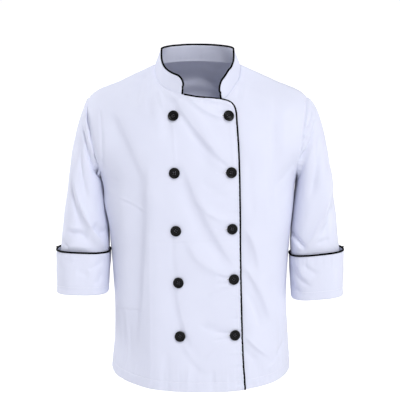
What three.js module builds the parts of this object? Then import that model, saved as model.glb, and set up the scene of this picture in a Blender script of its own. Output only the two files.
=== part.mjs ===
// A double-breasted chef jacket, worn and hollow, with a stand collar, three-quarter sleeves,
// turned-back cuffs, corded piping and ten buttons in two columns.
//
// Millimetres. +Z is up, the front faces -Y and +X is the wearer's left. The origin is the middle of
// the neck at the height of the shoulder-neck points, which is where the wearer holds the jacket up.
//
// The body cloth is one surface. A point on it has an angle round the body (0 at the middle of the
// front, 90 at the wearer's left side, 180 at the middle of the back) and a level that runs down from
// 0 at the neckline, through 1 at the shoulder tips and 2 at the armpits, to HEM_LEVEL at the hem.
import * as THREE from "three";

const CLOTH = 1.6; // one layer of twill with its turnings
const HEM_CLOTH = 2.6; // the folded hem
const COLLAR_CLOTH = 2.4; // two layers and an interlining
const CUFF_CLOTH = 1.8;
const SEAM = 0.4; // clear space left where two pieces are sewn
const LAYER = 4.2; // how far the outer front lies over the inner one
const HEM_LEVEL = 4.5;
const HEM_TURN_LEVEL = 4.39; // the top of the turned hem, 20 mm up
const HEM_STEP = 0.02; // the levels over which its second layer ends

// Rings of the body cloth: half is the half width, middle its centre, front and back the depths,
// the three z columns its height at the sides, front and back, and square how far from an ellipse it is.
const BODY = [
  {
    level: 0.0, half: 92, middle: -2, front: 96, back: 78,
    side: 3, fore: -58, rear: 8, square: 2.0, drop: 0.5,
  },
  {
    level: 0.5, half: 163, middle: -1, front: 107, back: 98,
    side: -30, fore: -86, rear: -20, square: 2.0, drop: 0.7,
  },
  {
    level: 1.0, half: 235, middle: -1, front: 115, back: 113,
    side: -67, fore: -118, rear: -70, square: 2.1, drop: 0.9,
  },
  {
    level: 1.5, half: 248, middle: 1, front: 124, back: 122,
    side: -150, fore: -172, rear: -150, square: 2.2, drop: 1,
  },
  {
    level: 2.0, half: 211, middle: 3, front: 131, back: 125,
    side: -235, fore: -235, rear: -235, square: 2.3, drop: 1,
  },
  {
    level: 2.5, half: 204, middle: 3, front: 134, back: 121,
    side: -302, fore: -302, rear: -302, square: 2.4, drop: 1,
  },
  {
    level: 3.0, half: 195, middle: 3, front: 134, back: 114,
    side: -406, fore: -406, rear: -406, square: 2.4, drop: 1,
  },
  {
    level: 3.5, half: 190, middle: 4, front: 135, back: 114,
    side: -505, fore: -505, rear: -505, square: 2.5, drop: 1,
  },
  {
    level: 4.0, half: 193, middle: 6, front: 139, back: 123,
    side: -590, fore: -592, rear: -592, square: 2.4, drop: 1,
  },
  {
    level: 4.5, half: 199, middle: 5, front: 144, back: 133,
    side: -664, fore: -683, rear: -684, square: 2.42, drop: 1,
  },
];

// The armhole is an ellipse on the body cloth, between the levels of the shoulder tip and the armpit.
// skew is how much nearer to the tip its front edge starts on the wearer's right.
const ARMHOLE = { tip: 1, armpit: 2, frontDegrees: 29, backDegrees: 27, skew: 0.42 };

// The outer front's free edge: down the front, then along its top from the neckline to the corner.
const OUTER_EDGE = [
  { z: -82, x: 73.5 },
  { z: -89, x: 75.5 },
  { z: -104, x: 77 },
  { z: -183, x: 82 },
  { z: -380, x: 86 },
  { z: -484, x: 88 },
  { z: -600, x: 92 },
  { z: -686, x: 97 },
];
const OUTER_TOP = [
  { x: -34, z: -56 },
  { x: -6, z: -60.5 },
  { x: 30, z: -65 },
  { x: 50, z: -68 },
  { x: 62, z: -72 },
  { x: 69.5, z: -76.5 },
  { x: 73.5, z: -82 },
];
// The inner front's neckline and the hidden top of its overlap.
const INNER_TOP = [
  { x: -72, z: -92 },
  { x: -50, z: -84 },
  { x: -10, z: -76 },
  { x: 34, z: -72 },
  { x: 50, z: -65 },
  { x: 59, z: -58 },
  { x: 70, z: -46 },
  { x: 79, z: -31 },
  { x: 86, z: -14 },
];
// Where the columns of the two fronts' overlap stand along its top.
const OVERLAP_X = [-72, -53, -34, -14, 8, 30, 50, 62, 69.5, 73.5];
const [COLLAR_RIGHT_COLUMN, COLLAR_LEFT_COLUMN] = [2, 6];
const TOP_LEVEL = 0.8; // above it the rows of the fronts close up towards their top edges
const SKIRT_LEVELS = [4.1, 3.8, 3.5, 3.2, 2.9, 2.6, 2.3]; // rows between the hem and the armpit
const SHOULDER_LEVELS = [0.92, TOP_LEVEL, 0.6, 0.4, 0.2, 0]; // rows above the shoulder tip
const COLLAR = {
  height: 35,
  endHeight: 18,
  frontLean: 12,
  sideLean: 22,
  backLean: 10,
  rows: 3,
  endParts: 4,
};
const CORD = { radius: 1.6, sides: 6 };
const RIDGE = 0.2; // how softly the front's slope turns into the back's over the shoulder
const ABOVE = 100; // a height above every edge
const SIDE_COLUMNS = 9; // columns of a front outside the overlap
const BACK_COLUMNS = 28;
const OVERLAP_RISE = { from: -150, to: -78 }; // where the outer front lifts to lie over the inner one
const GUIDE_RISE = 0.35; // how far the body's guide to its outside leans up
const IN_FRONT = -400; // the y of a place in front of the whole jacket
const EDGE_SEARCH = 80; // how far round from the middle of the front its edges are looked for
const SEARCH_STEPS = 40;
const [SEAM_FADE, NECK_FADE, LIFT_FADE] = [22, 0.35, 30]; // where folds and lift are full, from an edge
const SLEEVE_GAP = 0.5; // from the armhole's edge to the sleeve

// Sleeve rings after the armhole, with x counted from the chest's middle. Each ring's outer and inner
// points show in the outline from the front. depth is its half size from front to back, and square
// how far it is from an ellipse.
const CHEST_MIDDLE = 3;
const SLEEVE = [
  {
    outerX: 250, outerZ: -88, innerX: 212, innerZ: -243,
    depth: 62, middleY: 1, tilt: 0, square: 2.1,
  },
  {
    outerX: 262, outerZ: -118, innerX: 210.5, innerZ: -252,
    depth: 64, middleY: 2, tilt: 0, square: 2.2,
  },
  {
    outerX: 277.5, outerZ: -180, innerX: 209, innerZ: -266,
    depth: 66, middleY: 3, tilt: 0, square: 2.4,
  },
  {
    outerX: 287, outerZ: -250, innerX: 206, innerZ: -292,
    depth: 66, middleY: 1, tilt: 0, square: 2.6,
  },
  {
    outerX: 296, outerZ: -314, innerX: 202.6, innerZ: -328,
    depth: 63, middleY: -5, tilt: 0, square: 2.7,
  },
  {
    outerX: 302.5, outerZ: -374, innerX: 199.4, innerZ: -374,
    depth: 59, middleY: -11, tilt: 2, square: 2.8,
  },
  {
    outerX: 306.5, outerZ: -412, innerX: 200.4, innerZ: -412,
    depth: 56, middleY: -15, tilt: 4.5, square: 2.8,
  },
];
const SLEEVE_STEPS = [0, 0.4, 1, 1.5, 2, 2.4, 2.8, 3.2, 3.6, 4, 4.3, 4.6, 5, 5.3, 5.6, 6, 6.5, 7, 8];
// Where the columns round an armhole, a sleeve and a cuff stand, closer at the front and back.
const HALF_TURNS = [0, 24, 42, 58, 74, 90, 106, 122, 138, 156, 180];
const TURNS = [...HALF_TURNS, ...HALF_TURNS.slice(1, -1).map((turn) => 180 + turn)];

// The foot of the sleeve and the turned-back cuff over it. rise lifts the outer side of a ring.
const SIDES = [
  { name: "right", sign: -1, topZ: -401.5, topRise: 2, footZ: -493.5, footRise: 0.5 },
  { name: "left", sign: 1, topZ: -405.5, topRise: 6, footZ: -503, footRise: 4.5 },
];
const CUFF = {
  top: { outerX: 314.5, innerX: 196.6, depth: 64, middleY: -15 },
  foot: { outerX: 315, innerX: 202, depth: 60, middleY: -22 },
  tilt: 4.5, // how much higher its front is than its sides
  square: 2.8,
  inset: 5.2, // from the cuff's outside to the sleeve's, at the foot
  returnUp: 8,
};
const CUFF_ROWS = [1, 0.66, 0.33]; // shares of its height, above the fold
// The fold at the cuff's foot: how far in and up each row's outer and inner points are.
const CUFF_RETURN = CUFF.inset + 1.6;
const CUFF_FOLD = [
  { out: 0, up: 3.2, in: CUFF_CLOTH, upIn: 3.4 },
  { out: 1.4, up: 0.7, in: 2.6, upIn: 2.2 },
  { out: 3.4, up: 0, in: 3.5, upIn: 1.8 },
  { out: 5.4, up: 0.7, in: 4.4, upIn: 2.2 },
  { out: CUFF_RETURN, up: 3.2, in: CUFF.inset, upIn: 3.4 },
  { out: CUFF_RETURN, up: CUFF.returnUp, in: CUFF.inset, upIn: CUFF.returnUp },
];

// The buttons, which stand off the cloth on a shank of thread.
const BUTTON = {
  radius: 11.4,
  rimHeight: 3.2,
  rimWidth: 2.6,
  dishHeight: 2.2,
  bevel: 1.2,
  topBevel: 0.4,
  standOff: 1.4,
  shankRadius: 2.6,
  sides: 12,
};
// The buttons' places seen from the front: five rows of two.
const BUTTON_ROWS = [
  { rightX: -52, rightZ: -97.5, leftX: 62, leftZ: -97.5 },
  { rightX: -50, rightZ: -214, leftX: 68, leftZ: -213 },
  { rightX: -47, rightZ: -335, leftX: 70, leftZ: -331 },
  { rightX: -42, rightZ: -446, leftX: 74, leftZ: -439 },
  { rightX: -39, rightZ: -562.5, leftX: 77, leftZ: -560 },
];

// Folds, as seen from the front or the back: a soft trough or ridge from one point to another.
// bow moves its middle sideways, width is its half width and height is how far it stands out.
const FRONT_FOLDS = [
  { x0: -66, z0: -50, x1: 22, z1: -200, bow: -8, width: 15, height: -3 },
  { x0: -46, z0: -58, x1: 44, z1: -190, bow: -10, width: 14, height: 2 },
  { x0: -84, z0: -34, x1: -62, z1: -150, bow: -5, width: 12, height: -2.5 },
  { x0: -20, z0: -66, x1: 62, z1: -88, bow: -5, width: 8, height: -1.6 },
  { x0: -188, z0: -86, x1: -118, z1: -240, bow: -3, width: 20, height: -4.5 },
  { x0: -150, z0: -110, x1: -84, z1: -300, bow: 8, width: 26, height: 2.5 },
  { x0: -120, z0: -210, x1: -142, z1: -620, bow: -4, width: 18, height: -4.5 },
  { x0: -96, z0: -250, x1: -98, z1: -690, bow: 0, width: 22, height: 2.5 },
  { x0: -162, z0: -230, x1: -160, z1: -540, bow: 0, width: 18, height: 3 },
  { x0: -54, z0: -450, x1: 8, z1: -640, bow: 14, width: 18, height: -4 },
  { x0: -42, z0: -210, x1: 60, z1: -412, bow: 9, width: 18, height: -4 },
  { x0: 96, z0: -330, x1: 142, z1: -560, bow: 8, width: 18, height: -3.5 },
  { x0: 100, z0: -545, x1: 140, z1: -670, bow: 5, width: 14, height: -3 },
  { x0: 150, z0: -200, x1: 158, z1: -690, bow: -8, width: 24, height: 3 },
  { x0: 128, z0: -90, x1: 190, z1: -300, bow: -8, width: 24, height: -3 },
];
const BACK_FOLDS = [
  { x0: -168, z0: -120, x1: -128, z1: -330, bow: -10, width: 24, height: -6 },
  { x0: 168, z0: -120, x1: 132, z1: -340, bow: 10, width: 24, height: -6 },
  { x0: -96, z0: -330, x1: -104, z1: -690, bow: 8, width: 24, height: -7 },
  { x0: -44, z0: -400, x1: -40, z1: -690, bow: -6, width: 22, height: 5 },
  { x0: 38, z0: -360, x1: 30, z1: -690, bow: 6, width: 24, height: -6 },
  { x0: 110, z0: -380, x1: 118, z1: -690, bow: -8, width: 24, height: 5 },
  { x0: -60, z0: -60, x1: 60, z1: -64, bow: -14, width: 12, height: -3 },
  { x0: -70, z0: -300, x1: 90, z1: -372, bow: 12, width: 18, height: -4 },
];
const SLEEVE_FOLDS = {
  right: {
    front: [
      { x0: -252, z0: -120, x1: -208, z1: -242, bow: 6, width: 9, height: -4 },
      { x0: -258, z0: -156, x1: -252, z1: -332, bow: 18, width: 9, height: -4 },
      { x0: -262, z0: -310, x1: -204, z1: -400, bow: 10, width: 11, height: -4 },
      { x0: -226, z0: -336, x1: -200, z1: -362, bow: 2, width: 12, height: -4 },
      { x0: -282, z0: -354, x1: -240, z1: -362, bow: -2, width: 9, height: -3 },
    ],
    back: [
      { x0: -250, z0: -100, x1: -214, z1: -230, bow: 6, width: 11, height: -6 },
      { x0: -282, z0: -200, x1: -222, z1: -330, bow: 10, width: 12, height: -6 },
      { x0: -292, z0: -330, x1: -214, z1: -380, bow: -8, width: 11, height: -6 },
    ],
  },
  left: {
    front: [
      { x0: 251, z0: -108, x1: 213, z1: -202, bow: -5, width: 8, height: -4 },
      { x0: 259, z0: -136, x1: 240, z1: -276, bow: -4, width: 12, height: -4 },
      { x0: 288, z0: -296, x1: 262, z1: -360, bow: -6, width: 9, height: -4 },
      { x0: 206, z0: -366, x1: 232, z1: -394, bow: 0, width: 8, height: -3 },
    ],
    back: [
      { x0: 252, z0: -104, x1: 218, z1: -240, bow: -6, width: 11, height: -6 },
      { x0: 288, z0: -220, x1: 226, z1: -340, bow: -10, width: 12, height: -6 },
      { x0: 298, z0: -340, x1: 220, z1: -386, bow: 8, width: 11, height: -5 },
    ],
  },
};

const WHITE = { color: 0xe9eaf6, roughness: 0.85, metalness: 0 };
const BLACK_CORD = { color: 0x0c0c0f, roughness: 0.7, metalness: 0 };
const BLACK_RESIN = { color: 0x101015, roughness: 0.35, metalness: 0 };

const rad = THREE.MathUtils.degToRad;
const lerp = THREE.MathUtils.lerp;
const smooth = (value, from, to) => THREE.MathUtils.smoothstep(value, from, to);

// A smooth curve through a table's rows: the value of one column where the key column is at.
function tableAt(table, key, column, at) {
  const rising = table[table.length - 1][key] > table[0][key];
  const last = table.length - 1;
  const before = (row) => (rising ? row[key] <= at : row[key] >= at);
  let i = 0;
  while (i < last - 1 && before(table[i + 1])) i++;
  const [k0, k1] = [table[i][key], table[i + 1][key]];
  const slope = (j) => {
    const [a, b] = [Math.max(j - 1, 0), Math.min(j + 1, last)];
    return (table[b][column] - table[a][column]) / (table[b][key] - table[a][key]);
  };
  const t = THREE.MathUtils.clamp((at - k0) / (k1 - k0), 0, 1);
  const span = k1 - k0;
  const [p0, p1] = [table[i][column], table[i + 1][column]];
  const [t2, t3] = [t * t, t * t * t];
  return (
    (2 * t3 - 3 * t2 + 1) * p0 +
    (t3 - 2 * t2 + t) * span * slope(i) +
    (3 * t2 - 2 * t3) * p1 +
    (t3 - t2) * span * slope(i + 1)
  );
}

// A point of the smooth body form, without folds.
function formPoint(degrees, level) {
  const at = (column) => tableAt(BODY, "level", column, level);
  const [s, c] = [Math.sin(rad(degrees)), Math.cos(rad(degrees))];
  const power = 2 / at("square");
  const depth = c > 0 ? -at("front") : at("back");
  const round = (v) => (v < 0 ? 0 : (Math.hypot(v, RIDGE) - RIDGE) / (Math.hypot(1, RIDGE) - RIDGE));
  const toFront = round(c) ** at("drop");
  const z = at("side") + (at("fore") - at("side")) * toFront + (at("rear") - at("side")) * round(-c);
  return new THREE.Vector3(
    at("middle") + at("half") * Math.sign(s) * Math.abs(s) ** power,
    depth * Math.abs(c) ** power,
    z,
  );
}

// The outward direction of a surface point(u, v) whose u and v steps turn the given way.
function outward(point, u, v, du, dv, away) {
  const along = point(u + du, v).sub(point(u - du, v));
  const down = point(u, v + dv).sub(point(u, v - dv));
  const normal = along.cross(down).normalize();
  return normal.dot(away) < 0 ? normal.negate() : normal;
}

// How far the cloth stands out at a point of the front or back view because of its folds.
function foldHeight(folds, x, z) {
  let sum = 0;
  for (const f of folds) {
    const [dx, dz] = [f.x1 - f.x0, f.z1 - f.z0];
    const length = Math.hypot(dx, dz);
    const t = ((x - f.x0) * dx + (z - f.z0) * dz) / (length * length);
    const side = ((x - f.x0) * dz - (z - f.z0) * dx) / length;
    const bow = f.bow * Math.sin(Math.PI * THREE.MathUtils.clamp(t, 0, 1));
    const ends = smooth(t, -0.12, 0.22) * (1 - smooth(t, 0.78, 1.12));
    sum += f.height * ends * Math.exp(-(((side - bow) / f.width) ** 2));
  }
  return sum;
}

// A body cloth point: place, outward direction, and the folds' height faded towards the side seams.
function bodyPoint(angle, level, lift) {
  const degrees = angle > 180 ? angle - 360 : angle;
  const place = formPoint(degrees, level);
  const away = new THREE.Vector3(Math.sin(rad(degrees)), -Math.cos(rad(degrees)), GUIDE_RISE);
  const normal = outward(formPoint, degrees, level, 0.5, 0.01, away);
  const folds = Math.abs(degrees) < 90 ? FRONT_FOLDS : BACK_FOLDS;
  const fromSeam = Math.abs(Math.abs(degrees) - 90);
  const fade = smooth(fromSeam, 2, SEAM_FADE) * smooth(level, 0, NECK_FADE);
  const height = foldHeight(folds, place.x, place.z) * fade + lift(place.x) * smooth(fromSeam, 2, LIFT_FADE);
  return { outer: place.addScaledVector(normal, height), normal };
}

// The outer edge of a panel at a level: the side seam, the armhole or the shoulder seam. opening is
// how wide the armhole is there, less than 0 for the back.
function edgeDegrees(level, opening, sign) {
  const inside = Math.max(0, (level - ARMHOLE.tip) * (ARMHOLE.armpit - level));
  const skew = opening > 0 && sign < 0 ? ARMHOLE.skew : 0;
  const narrowed = 1 - skew * THREE.MathUtils.clamp(ARMHOLE.armpit - level, 0, 1);
  return 90 - opening * 2 * Math.sqrt(inside) * narrowed;
}

// The armhole's point at an angle round it: 0 at the shoulder tip, 90 at the front, 180 at the armpit.
function armholeAt(turn, sign) {
  const level = lerp(ARMHOLE.tip, ARMHOLE.armpit, (1 - Math.cos(rad(turn))) / 2);
  const opening = Math.sin(rad(turn)) > 0 ? ARMHOLE.frontDegrees : -ARMHOLE.backDegrees;
  return { degrees: edgeDegrees(level, opening, sign), level };
}

// The angle at which the body cloth of one level reaches a given x, between two angles.
function degreesAtX(level, xOf, low, high) {
  for (let i = 0; i < SEARCH_STEPS; i++) {
    const middle = (low + high) / 2;
    const p = formPoint(middle, level);
    if (p.x < xOf(p.z)) low = middle;
    else high = middle;
  }
  return (low + high) / 2;
}

// The angle and level at which the body cloth has a given x and height.
function placeAt(x, z) {
  let [low, high] = [0, 2];
  for (let i = 0; i < SEARCH_STEPS; i++) {
    const middle = (low + high) / 2;
    if (formPoint(degreesAtX(middle, () => x, -EDGE_SEARCH, EDGE_SEARCH), middle).z > z) low = middle;
    else high = middle;
  }
  return { degrees: degreesAtX(low, () => x, -EDGE_SEARCH, EDGE_SEARCH), level: low };
}

// The level at which the body cloth of one angle comes down to a given height.
function levelAtZ(degrees, zOf) {
  let [low, high] = [0, 2];
  for (let i = 0; i < SEARCH_STEPS; i++) {
    const middle = (low + high) / 2;
    const p = formPoint(degrees, middle);
    if (p.z > zOf(p.x)) low = middle;
    else high = middle;
  }
  return (low + high) / 2;
}

// A closed wall between two grids of points. A tube's columns meet, and a panel has four edges.
function wall(rows, columns, outer, inner, tube) {
  const positions = [];
  const across = tube ? columns : columns + 1;
  for (const layer of [outer, inner])
    for (let i = 0; i <= rows; i++)
      for (let j = 0; j < across; j++) positions.push(...layer[i][j].toArray());
  const at = (layer, i, j) => layer * (rows + 1) * across + i * across + (j % across);
  const faces = [];
  const quad = (a, b, c, d) => faces.push(a, b, c, a, c, d);
  for (let i = 0; i < rows; i++)
    for (let j = 0; j < columns; j++) {
      quad(at(0, i, j), at(0, i, j + 1), at(0, i + 1, j + 1), at(0, i + 1, j));
      quad(at(1, i, j), at(1, i + 1, j), at(1, i + 1, j + 1), at(1, i, j + 1));
    }
  for (let j = 0; j < columns; j++) {
    quad(at(0, 0, j), at(1, 0, j), at(1, 0, j + 1), at(0, 0, j + 1));
    quad(at(0, rows, j), at(0, rows, j + 1), at(1, rows, j + 1), at(1, rows, j));
  }
  if (!tube)
    for (let i = 0; i < rows; i++) {
      quad(at(0, i, 0), at(0, i + 1, 0), at(1, i + 1, 0), at(1, i, 0));
      quad(at(0, i, columns), at(1, i, columns), at(1, i + 1, columns), at(0, i + 1, columns));
    }
  return facingOut(positions, faces);
}

// A geometry of these points and faces, turned so that it faces outwards.
function facingOut(positions, faces) {
  const point = (k) => new THREE.Vector3().fromArray(positions, 3 * k);
  let volume = 0;
  for (let k = 0; k < faces.length; k += 3)
    volume += point(faces[k]).dot(point(faces[k + 1]).cross(point(faces[k + 2])));
  if (volume < 0)
    for (let k = 0; k < faces.length; k += 3) [faces[k + 1], faces[k + 2]] = [faces[k + 2], faces[k + 1]];
  const geometry = new THREE.BufferGeometry();
  geometry.setAttribute("position", new THREE.Float32BufferAttribute(positions, 3));
  geometry.setIndex(faces);
  geometry.computeVertexNormals();
  return geometry;
}

// The levels of a panel's rows, from the hem to its top edge.
function rowLevels() {
  const armhole = HALF_TURNS.toReversed().map((turn) => armholeAt(turn, 1).level);
  const hem = [HEM_LEVEL, HEM_TURN_LEVEL, HEM_TURN_LEVEL - HEM_STEP];
  return [...hem, ...SKIRT_LEVELS, ...armhole, ...SHOULDER_LEVELS];
}

// Outer and inner points of one place on a panel. across moves it along the cloth, off a seam.
function clothAt(degrees, level, lift, across) {
  const { outer, normal } = bodyPoint(degrees, level, lift);
  const thick = level >= HEM_TURN_LEVEL ? HEM_CLOTH : CLOTH;
  outer.add(new THREE.Vector3(Math.cos(rad(degrees)), Math.sin(rad(degrees)), 0).multiplyScalar(across));
  return { outer, inner: outer.clone().addScaledVector(normal, -thick) };
}

// A panel from a function that gives the angle and level of each row and column. It keeps its grids.
function panel(columns, place, lift) {
  const lines = rowLevels().map((row) =>
    [...Array(columns + 1).keys()].map((j) => {
      const { degrees, level, across } = place(row, j);
      return clothAt(degrees, level, lift, across);
    }),
  );
  const outer = lines.map((line) => line.map((p) => p.outer));
  const inner = lines.map((line) => line.map((p) => p.inner));
  return { geometry: wall(lines.length - 1, columns, outer, inner, false), outer, inner };
}

const flat = () => 0;
const overlapLift = (x) => LAYER * smooth(x, OVERLAP_RISE.from, OVERLAP_RISE.to);

// A front: side columns from its side seam, then the columns it shares with the other front.
// sign is 1 for the wearer's left, and topZ gives the height of its top edge where it has one.
function front(sign, sideColumns, topZ, lift) {
  const shared = OVERLAP_X.length - 1;
  const edgeX = (z) => tableAt(OUTER_EDGE, "z", "x", z);
  const top = OVERLAP_X.map((x) => placeAt(x, topZ(x)));
  const place = (row, j) => {
    const inward = Math.max(j - sideColumns, 0);
    const k = sign > 0 ? shared - inward : inward;
    const out = Math.max(sideColumns - j, 0) / sideColumns;
    const own = Math.max(row, TOP_LEVEL);
    const low = degreesAtX(own, () => OVERLAP_X[0], -EDGE_SEARCH, 0);
    const high = degreesAtX(own, edgeX, 0, EDGE_SEARCH);
    const part = (OVERLAP_X[k] - OVERLAP_X[0]) / (OVERLAP_X[shared] - OVERLAP_X[0]);
    const edge = sign * edgeDegrees(own, ARMHOLE.frontDegrees, sign);
    const topDegrees = lerp(top[k].degrees, sign * 90, out);
    const topLevel = out > 0 ? levelAtZ(topDegrees, topZ) : top[k].level;
    const up = Math.max(0, (TOP_LEVEL - row) / TOP_LEVEL);
    return {
      degrees: lerp(lerp(lerp(low, high, part), edge, out), topDegrees, up),
      level: lerp(own, topLevel, up),
      across: j === 0 ? (-sign * SEAM) / 2 : 0,
    };
  };
  return panel(sideColumns + shared, place, lift);
}

function backPanel(columns) {
  const place = (level, j) => {
    const edge = edgeDegrees(level, -ARMHOLE.backDegrees, 1);
    const across = j === 0 ? SEAM / 2 : j === columns ? -SEAM / 2 : 0;
    return { degrees: lerp(edge, 360 - edge, j / columns), level, across };
  };
  return panel(columns, place, flat);
}

// The heights of the fronts' top edges. Beyond a table's ends the neckline itself is the edge.
const outerTopZ = (x) => (x < OUTER_TOP[0].x ? ABOVE : tableAt(OUTER_TOP, "x", "z", x));
const innerTopZ = (x) => (x > INNER_TOP[INNER_TOP.length - 1].x ? ABOVE : tableAt(INNER_TOP, "x", "z", x));

// A ring of an upright-sided band round the arm, moved in from its size by inset.
function armPoint(side, ring, turn, inset) {
  const squared = (v) => Math.sign(v) * Math.abs(v) ** (2 / ring.square);
  const [c, s] = [squared(Math.cos(rad(turn))), squared(Math.sin(rad(turn)))];
  const half = (ring.outerX - ring.innerX) / 2 - inset;
  const x = (ring.outerX + ring.innerX) / 2 + c * half;
  const z = (ring.outerZ + ring.innerZ) / 2 + (c * (ring.outerZ - ring.innerZ)) / 2 + s * ring.tilt;
  return new THREE.Vector3(CHEST_MIDDLE + side.sign * x, ring.middleY - s * (ring.depth - inset), z);
}

// The ring of a cuff at a height above its foot.
function cuffRing(side, above) {
  const z = side.footZ + above;
  const share = above / (side.topZ - side.footZ);
  const rise = lerp(side.footRise, side.topRise, share);
  const at = (key) => lerp(CUFF.foot[key], CUFF.top[key], share);
  return {
    outerX: at("outerX"),
    innerX: at("innerX"),
    outerZ: z + rise,
    innerZ: z - rise,
    depth: at("depth"),
    middleY: at("middleY"),
    tilt: CUFF.tilt,
    square: CUFF.square,
  };
}

// A point of the sleeve's outside. step 0 is the armhole, and each whole step after it is a ring.
function sleevePoint(side, step, turn) {
  const last = SLEEVE.length + 1;
  const ring = (k) => {
    if (k === 0) {
      const { degrees, level } = armholeAt(turn, side.sign);
      const { outer } = bodyPoint(side.sign * degrees, level, flat);
      return outer.add(new THREE.Vector3(side.sign * SLEEVE_GAP, 0, 0));
    }
    if (k < last) return armPoint(side, SLEEVE[k - 1], turn, 0);
    return armPoint(side, cuffRing(side, CUFF.returnUp + SEAM), turn, CUFF.inset);
  };
  const k = Math.min(Math.floor(step), last - 1);
  const [p0, p1, p2, p3] = [Math.max(k - 1, 0), k, k + 1, Math.min(k + 2, last)].map(ring);
  const t = step - k;
  const spline = (a, b, c, d) => {
    const [v0, v1] = [(c - a) / 2, (d - b) / 2];
    return (2 * b - 2 * c + v0 + v1) * t ** 3 + (3 * c - 3 * b - 2 * v0 - v1) * t * t + v0 * t + b;
  };
  return new THREE.Vector3(
    spline(p0.x, p1.x, p2.x, p3.x),
    spline(p0.y, p1.y, p2.y, p3.y),
    spline(p0.z, p1.z, p2.z, p3.z),
  );
}

function sleeve(side) {
  const folds = SLEEVE_FOLDS[side.name];
  const lines = SLEEVE_STEPS.map((step) =>
    TURNS.map((turn) => {
      const outer = sleevePoint(side, step, turn);
      const [c, s] = [Math.cos(rad(turn)), Math.sin(rad(turn))];
      const away = new THREE.Vector3(side.sign * c, -s, 0.5 * c);
      const surface = (u, v) => sleevePoint(side, Math.max(v, 0), u);
      const normal = outward(surface, turn, Math.max(step, 0.02), 2, 0.02, away);
      const list = s > 0 ? folds.front : folds.back;
      const fade = smooth(step, 0, 0.5) * (1 - smooth(step, 7, 8)) * smooth(Math.abs(s), 0.1, 0.5);
      const height = foldHeight(list, outer.x, outer.z) * fade;
      outer.addScaledVector(normal, height);
      const inner = outer.clone().addScaledVector(normal, -CLOTH);
      if (step === 0) {
        // At the shoulder the wall stands like the panel's edge that it is sewn to.
        const { degrees, level } = armholeAt(turn, side.sign);
        const beside = bodyPoint(side.sign * degrees, level, flat).normal;
        const share = 1 - smooth(c, -0.2, 0.75);
        const inside = beside.lerp(normal, share).normalize();
        inner.copy(outer).addScaledVector(inside, -CLOTH);
      }
      return { outer, inner };
    }),
  );
  const outer = lines.map((line) => line.map((p) => p.outer));
  const inner = lines.map((line) => line.map((p) => p.inner));
  return wall(lines.length - 1, TURNS.length, outer, inner, true);
}

// The turned-back cuff: its outside, round the fold at the foot and up to the sleeve's end.
function cuff(side) {
  const high = side.topZ - side.footZ;
  const plain = CUFF_ROWS.map((share) => high * share);
  const rows = [...plain.map((up) => ({ out: 0, up, in: CUFF_CLOTH, upIn: up })), ...CUFF_FOLD];
  const line = (up, inset) => TURNS.map((turn) => armPoint(side, cuffRing(side, up), turn, inset));
  const outer = rows.map((row) => line(row.up, row.out));
  const inner = rows.map((row) => line(row.upIn, row.in));
  return wall(rows.length - 1, TURNS.length, outer, inner, true);
}

// A cord along a path of middle points. across gives each point's direction square to the path.
function cord(path, across, closed) {
  const count = path.length;
  const [positions, faces] = [[], []];
  path.forEach((point, i) => {
    const next = path[closed ? (i + 1) % count : Math.min(i + 1, count - 1)];
    const last = path[closed ? (i + count - 1) % count : Math.max(i - 1, 0)];
    const along = next.clone().sub(last).normalize();
    const side = across[i].clone().addScaledVector(along, -across[i].dot(along)).normalize();
    const up = along.clone().cross(side);
    for (let k = 0; k < CORD.sides; k++) {
      const turn = (2 * Math.PI * k) / CORD.sides;
      const spoke = side.clone().multiplyScalar(Math.cos(turn)).addScaledVector(up, Math.sin(turn));
      positions.push(...point.clone().addScaledVector(spoke, CORD.radius).toArray());
    }
  });
  const at = (i, k) => (i % count) * CORD.sides + (k % CORD.sides);
  for (let i = 0; i < (closed ? count : count - 1); i++)
    for (let k = 0; k < CORD.sides; k++) {
      faces.push(at(i, k), at(i + 1, k), at(i + 1, k + 1), at(i, k), at(i + 1, k + 1), at(i, k + 1));
    }
  if (!closed)
    for (let k = 1; k < CORD.sides - 1; k++) {
      faces.push(at(0, 0), at(0, k), at(0, k + 1));
      faces.push(at(count - 1, 0), at(count - 1, k + 1), at(count - 1, k));
    }
  return facingOut(positions, faces);
}

// The path of a cord sewn along an edge: from the edge's middle, out by its radius and a seam.
function besideEdge(outer, inner, away) {
  const edge = outer.map((p, i) => p.clone().lerp(inner[i], 0.5));
  const across = outer.map((p, i) => p.clone().sub(inner[i]).normalize());
  const path = edge.map((p, i) => {
    const along = edge[Math.min(i + 1, edge.length - 1)].clone().sub(edge[Math.max(i - 1, 0)]);
    const out = along.cross(across[i]).normalize();
    return p.clone().addScaledVector(out, (CORD.radius + 1.5 * SEAM) * away);
  });
  return { path, across };
}

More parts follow.
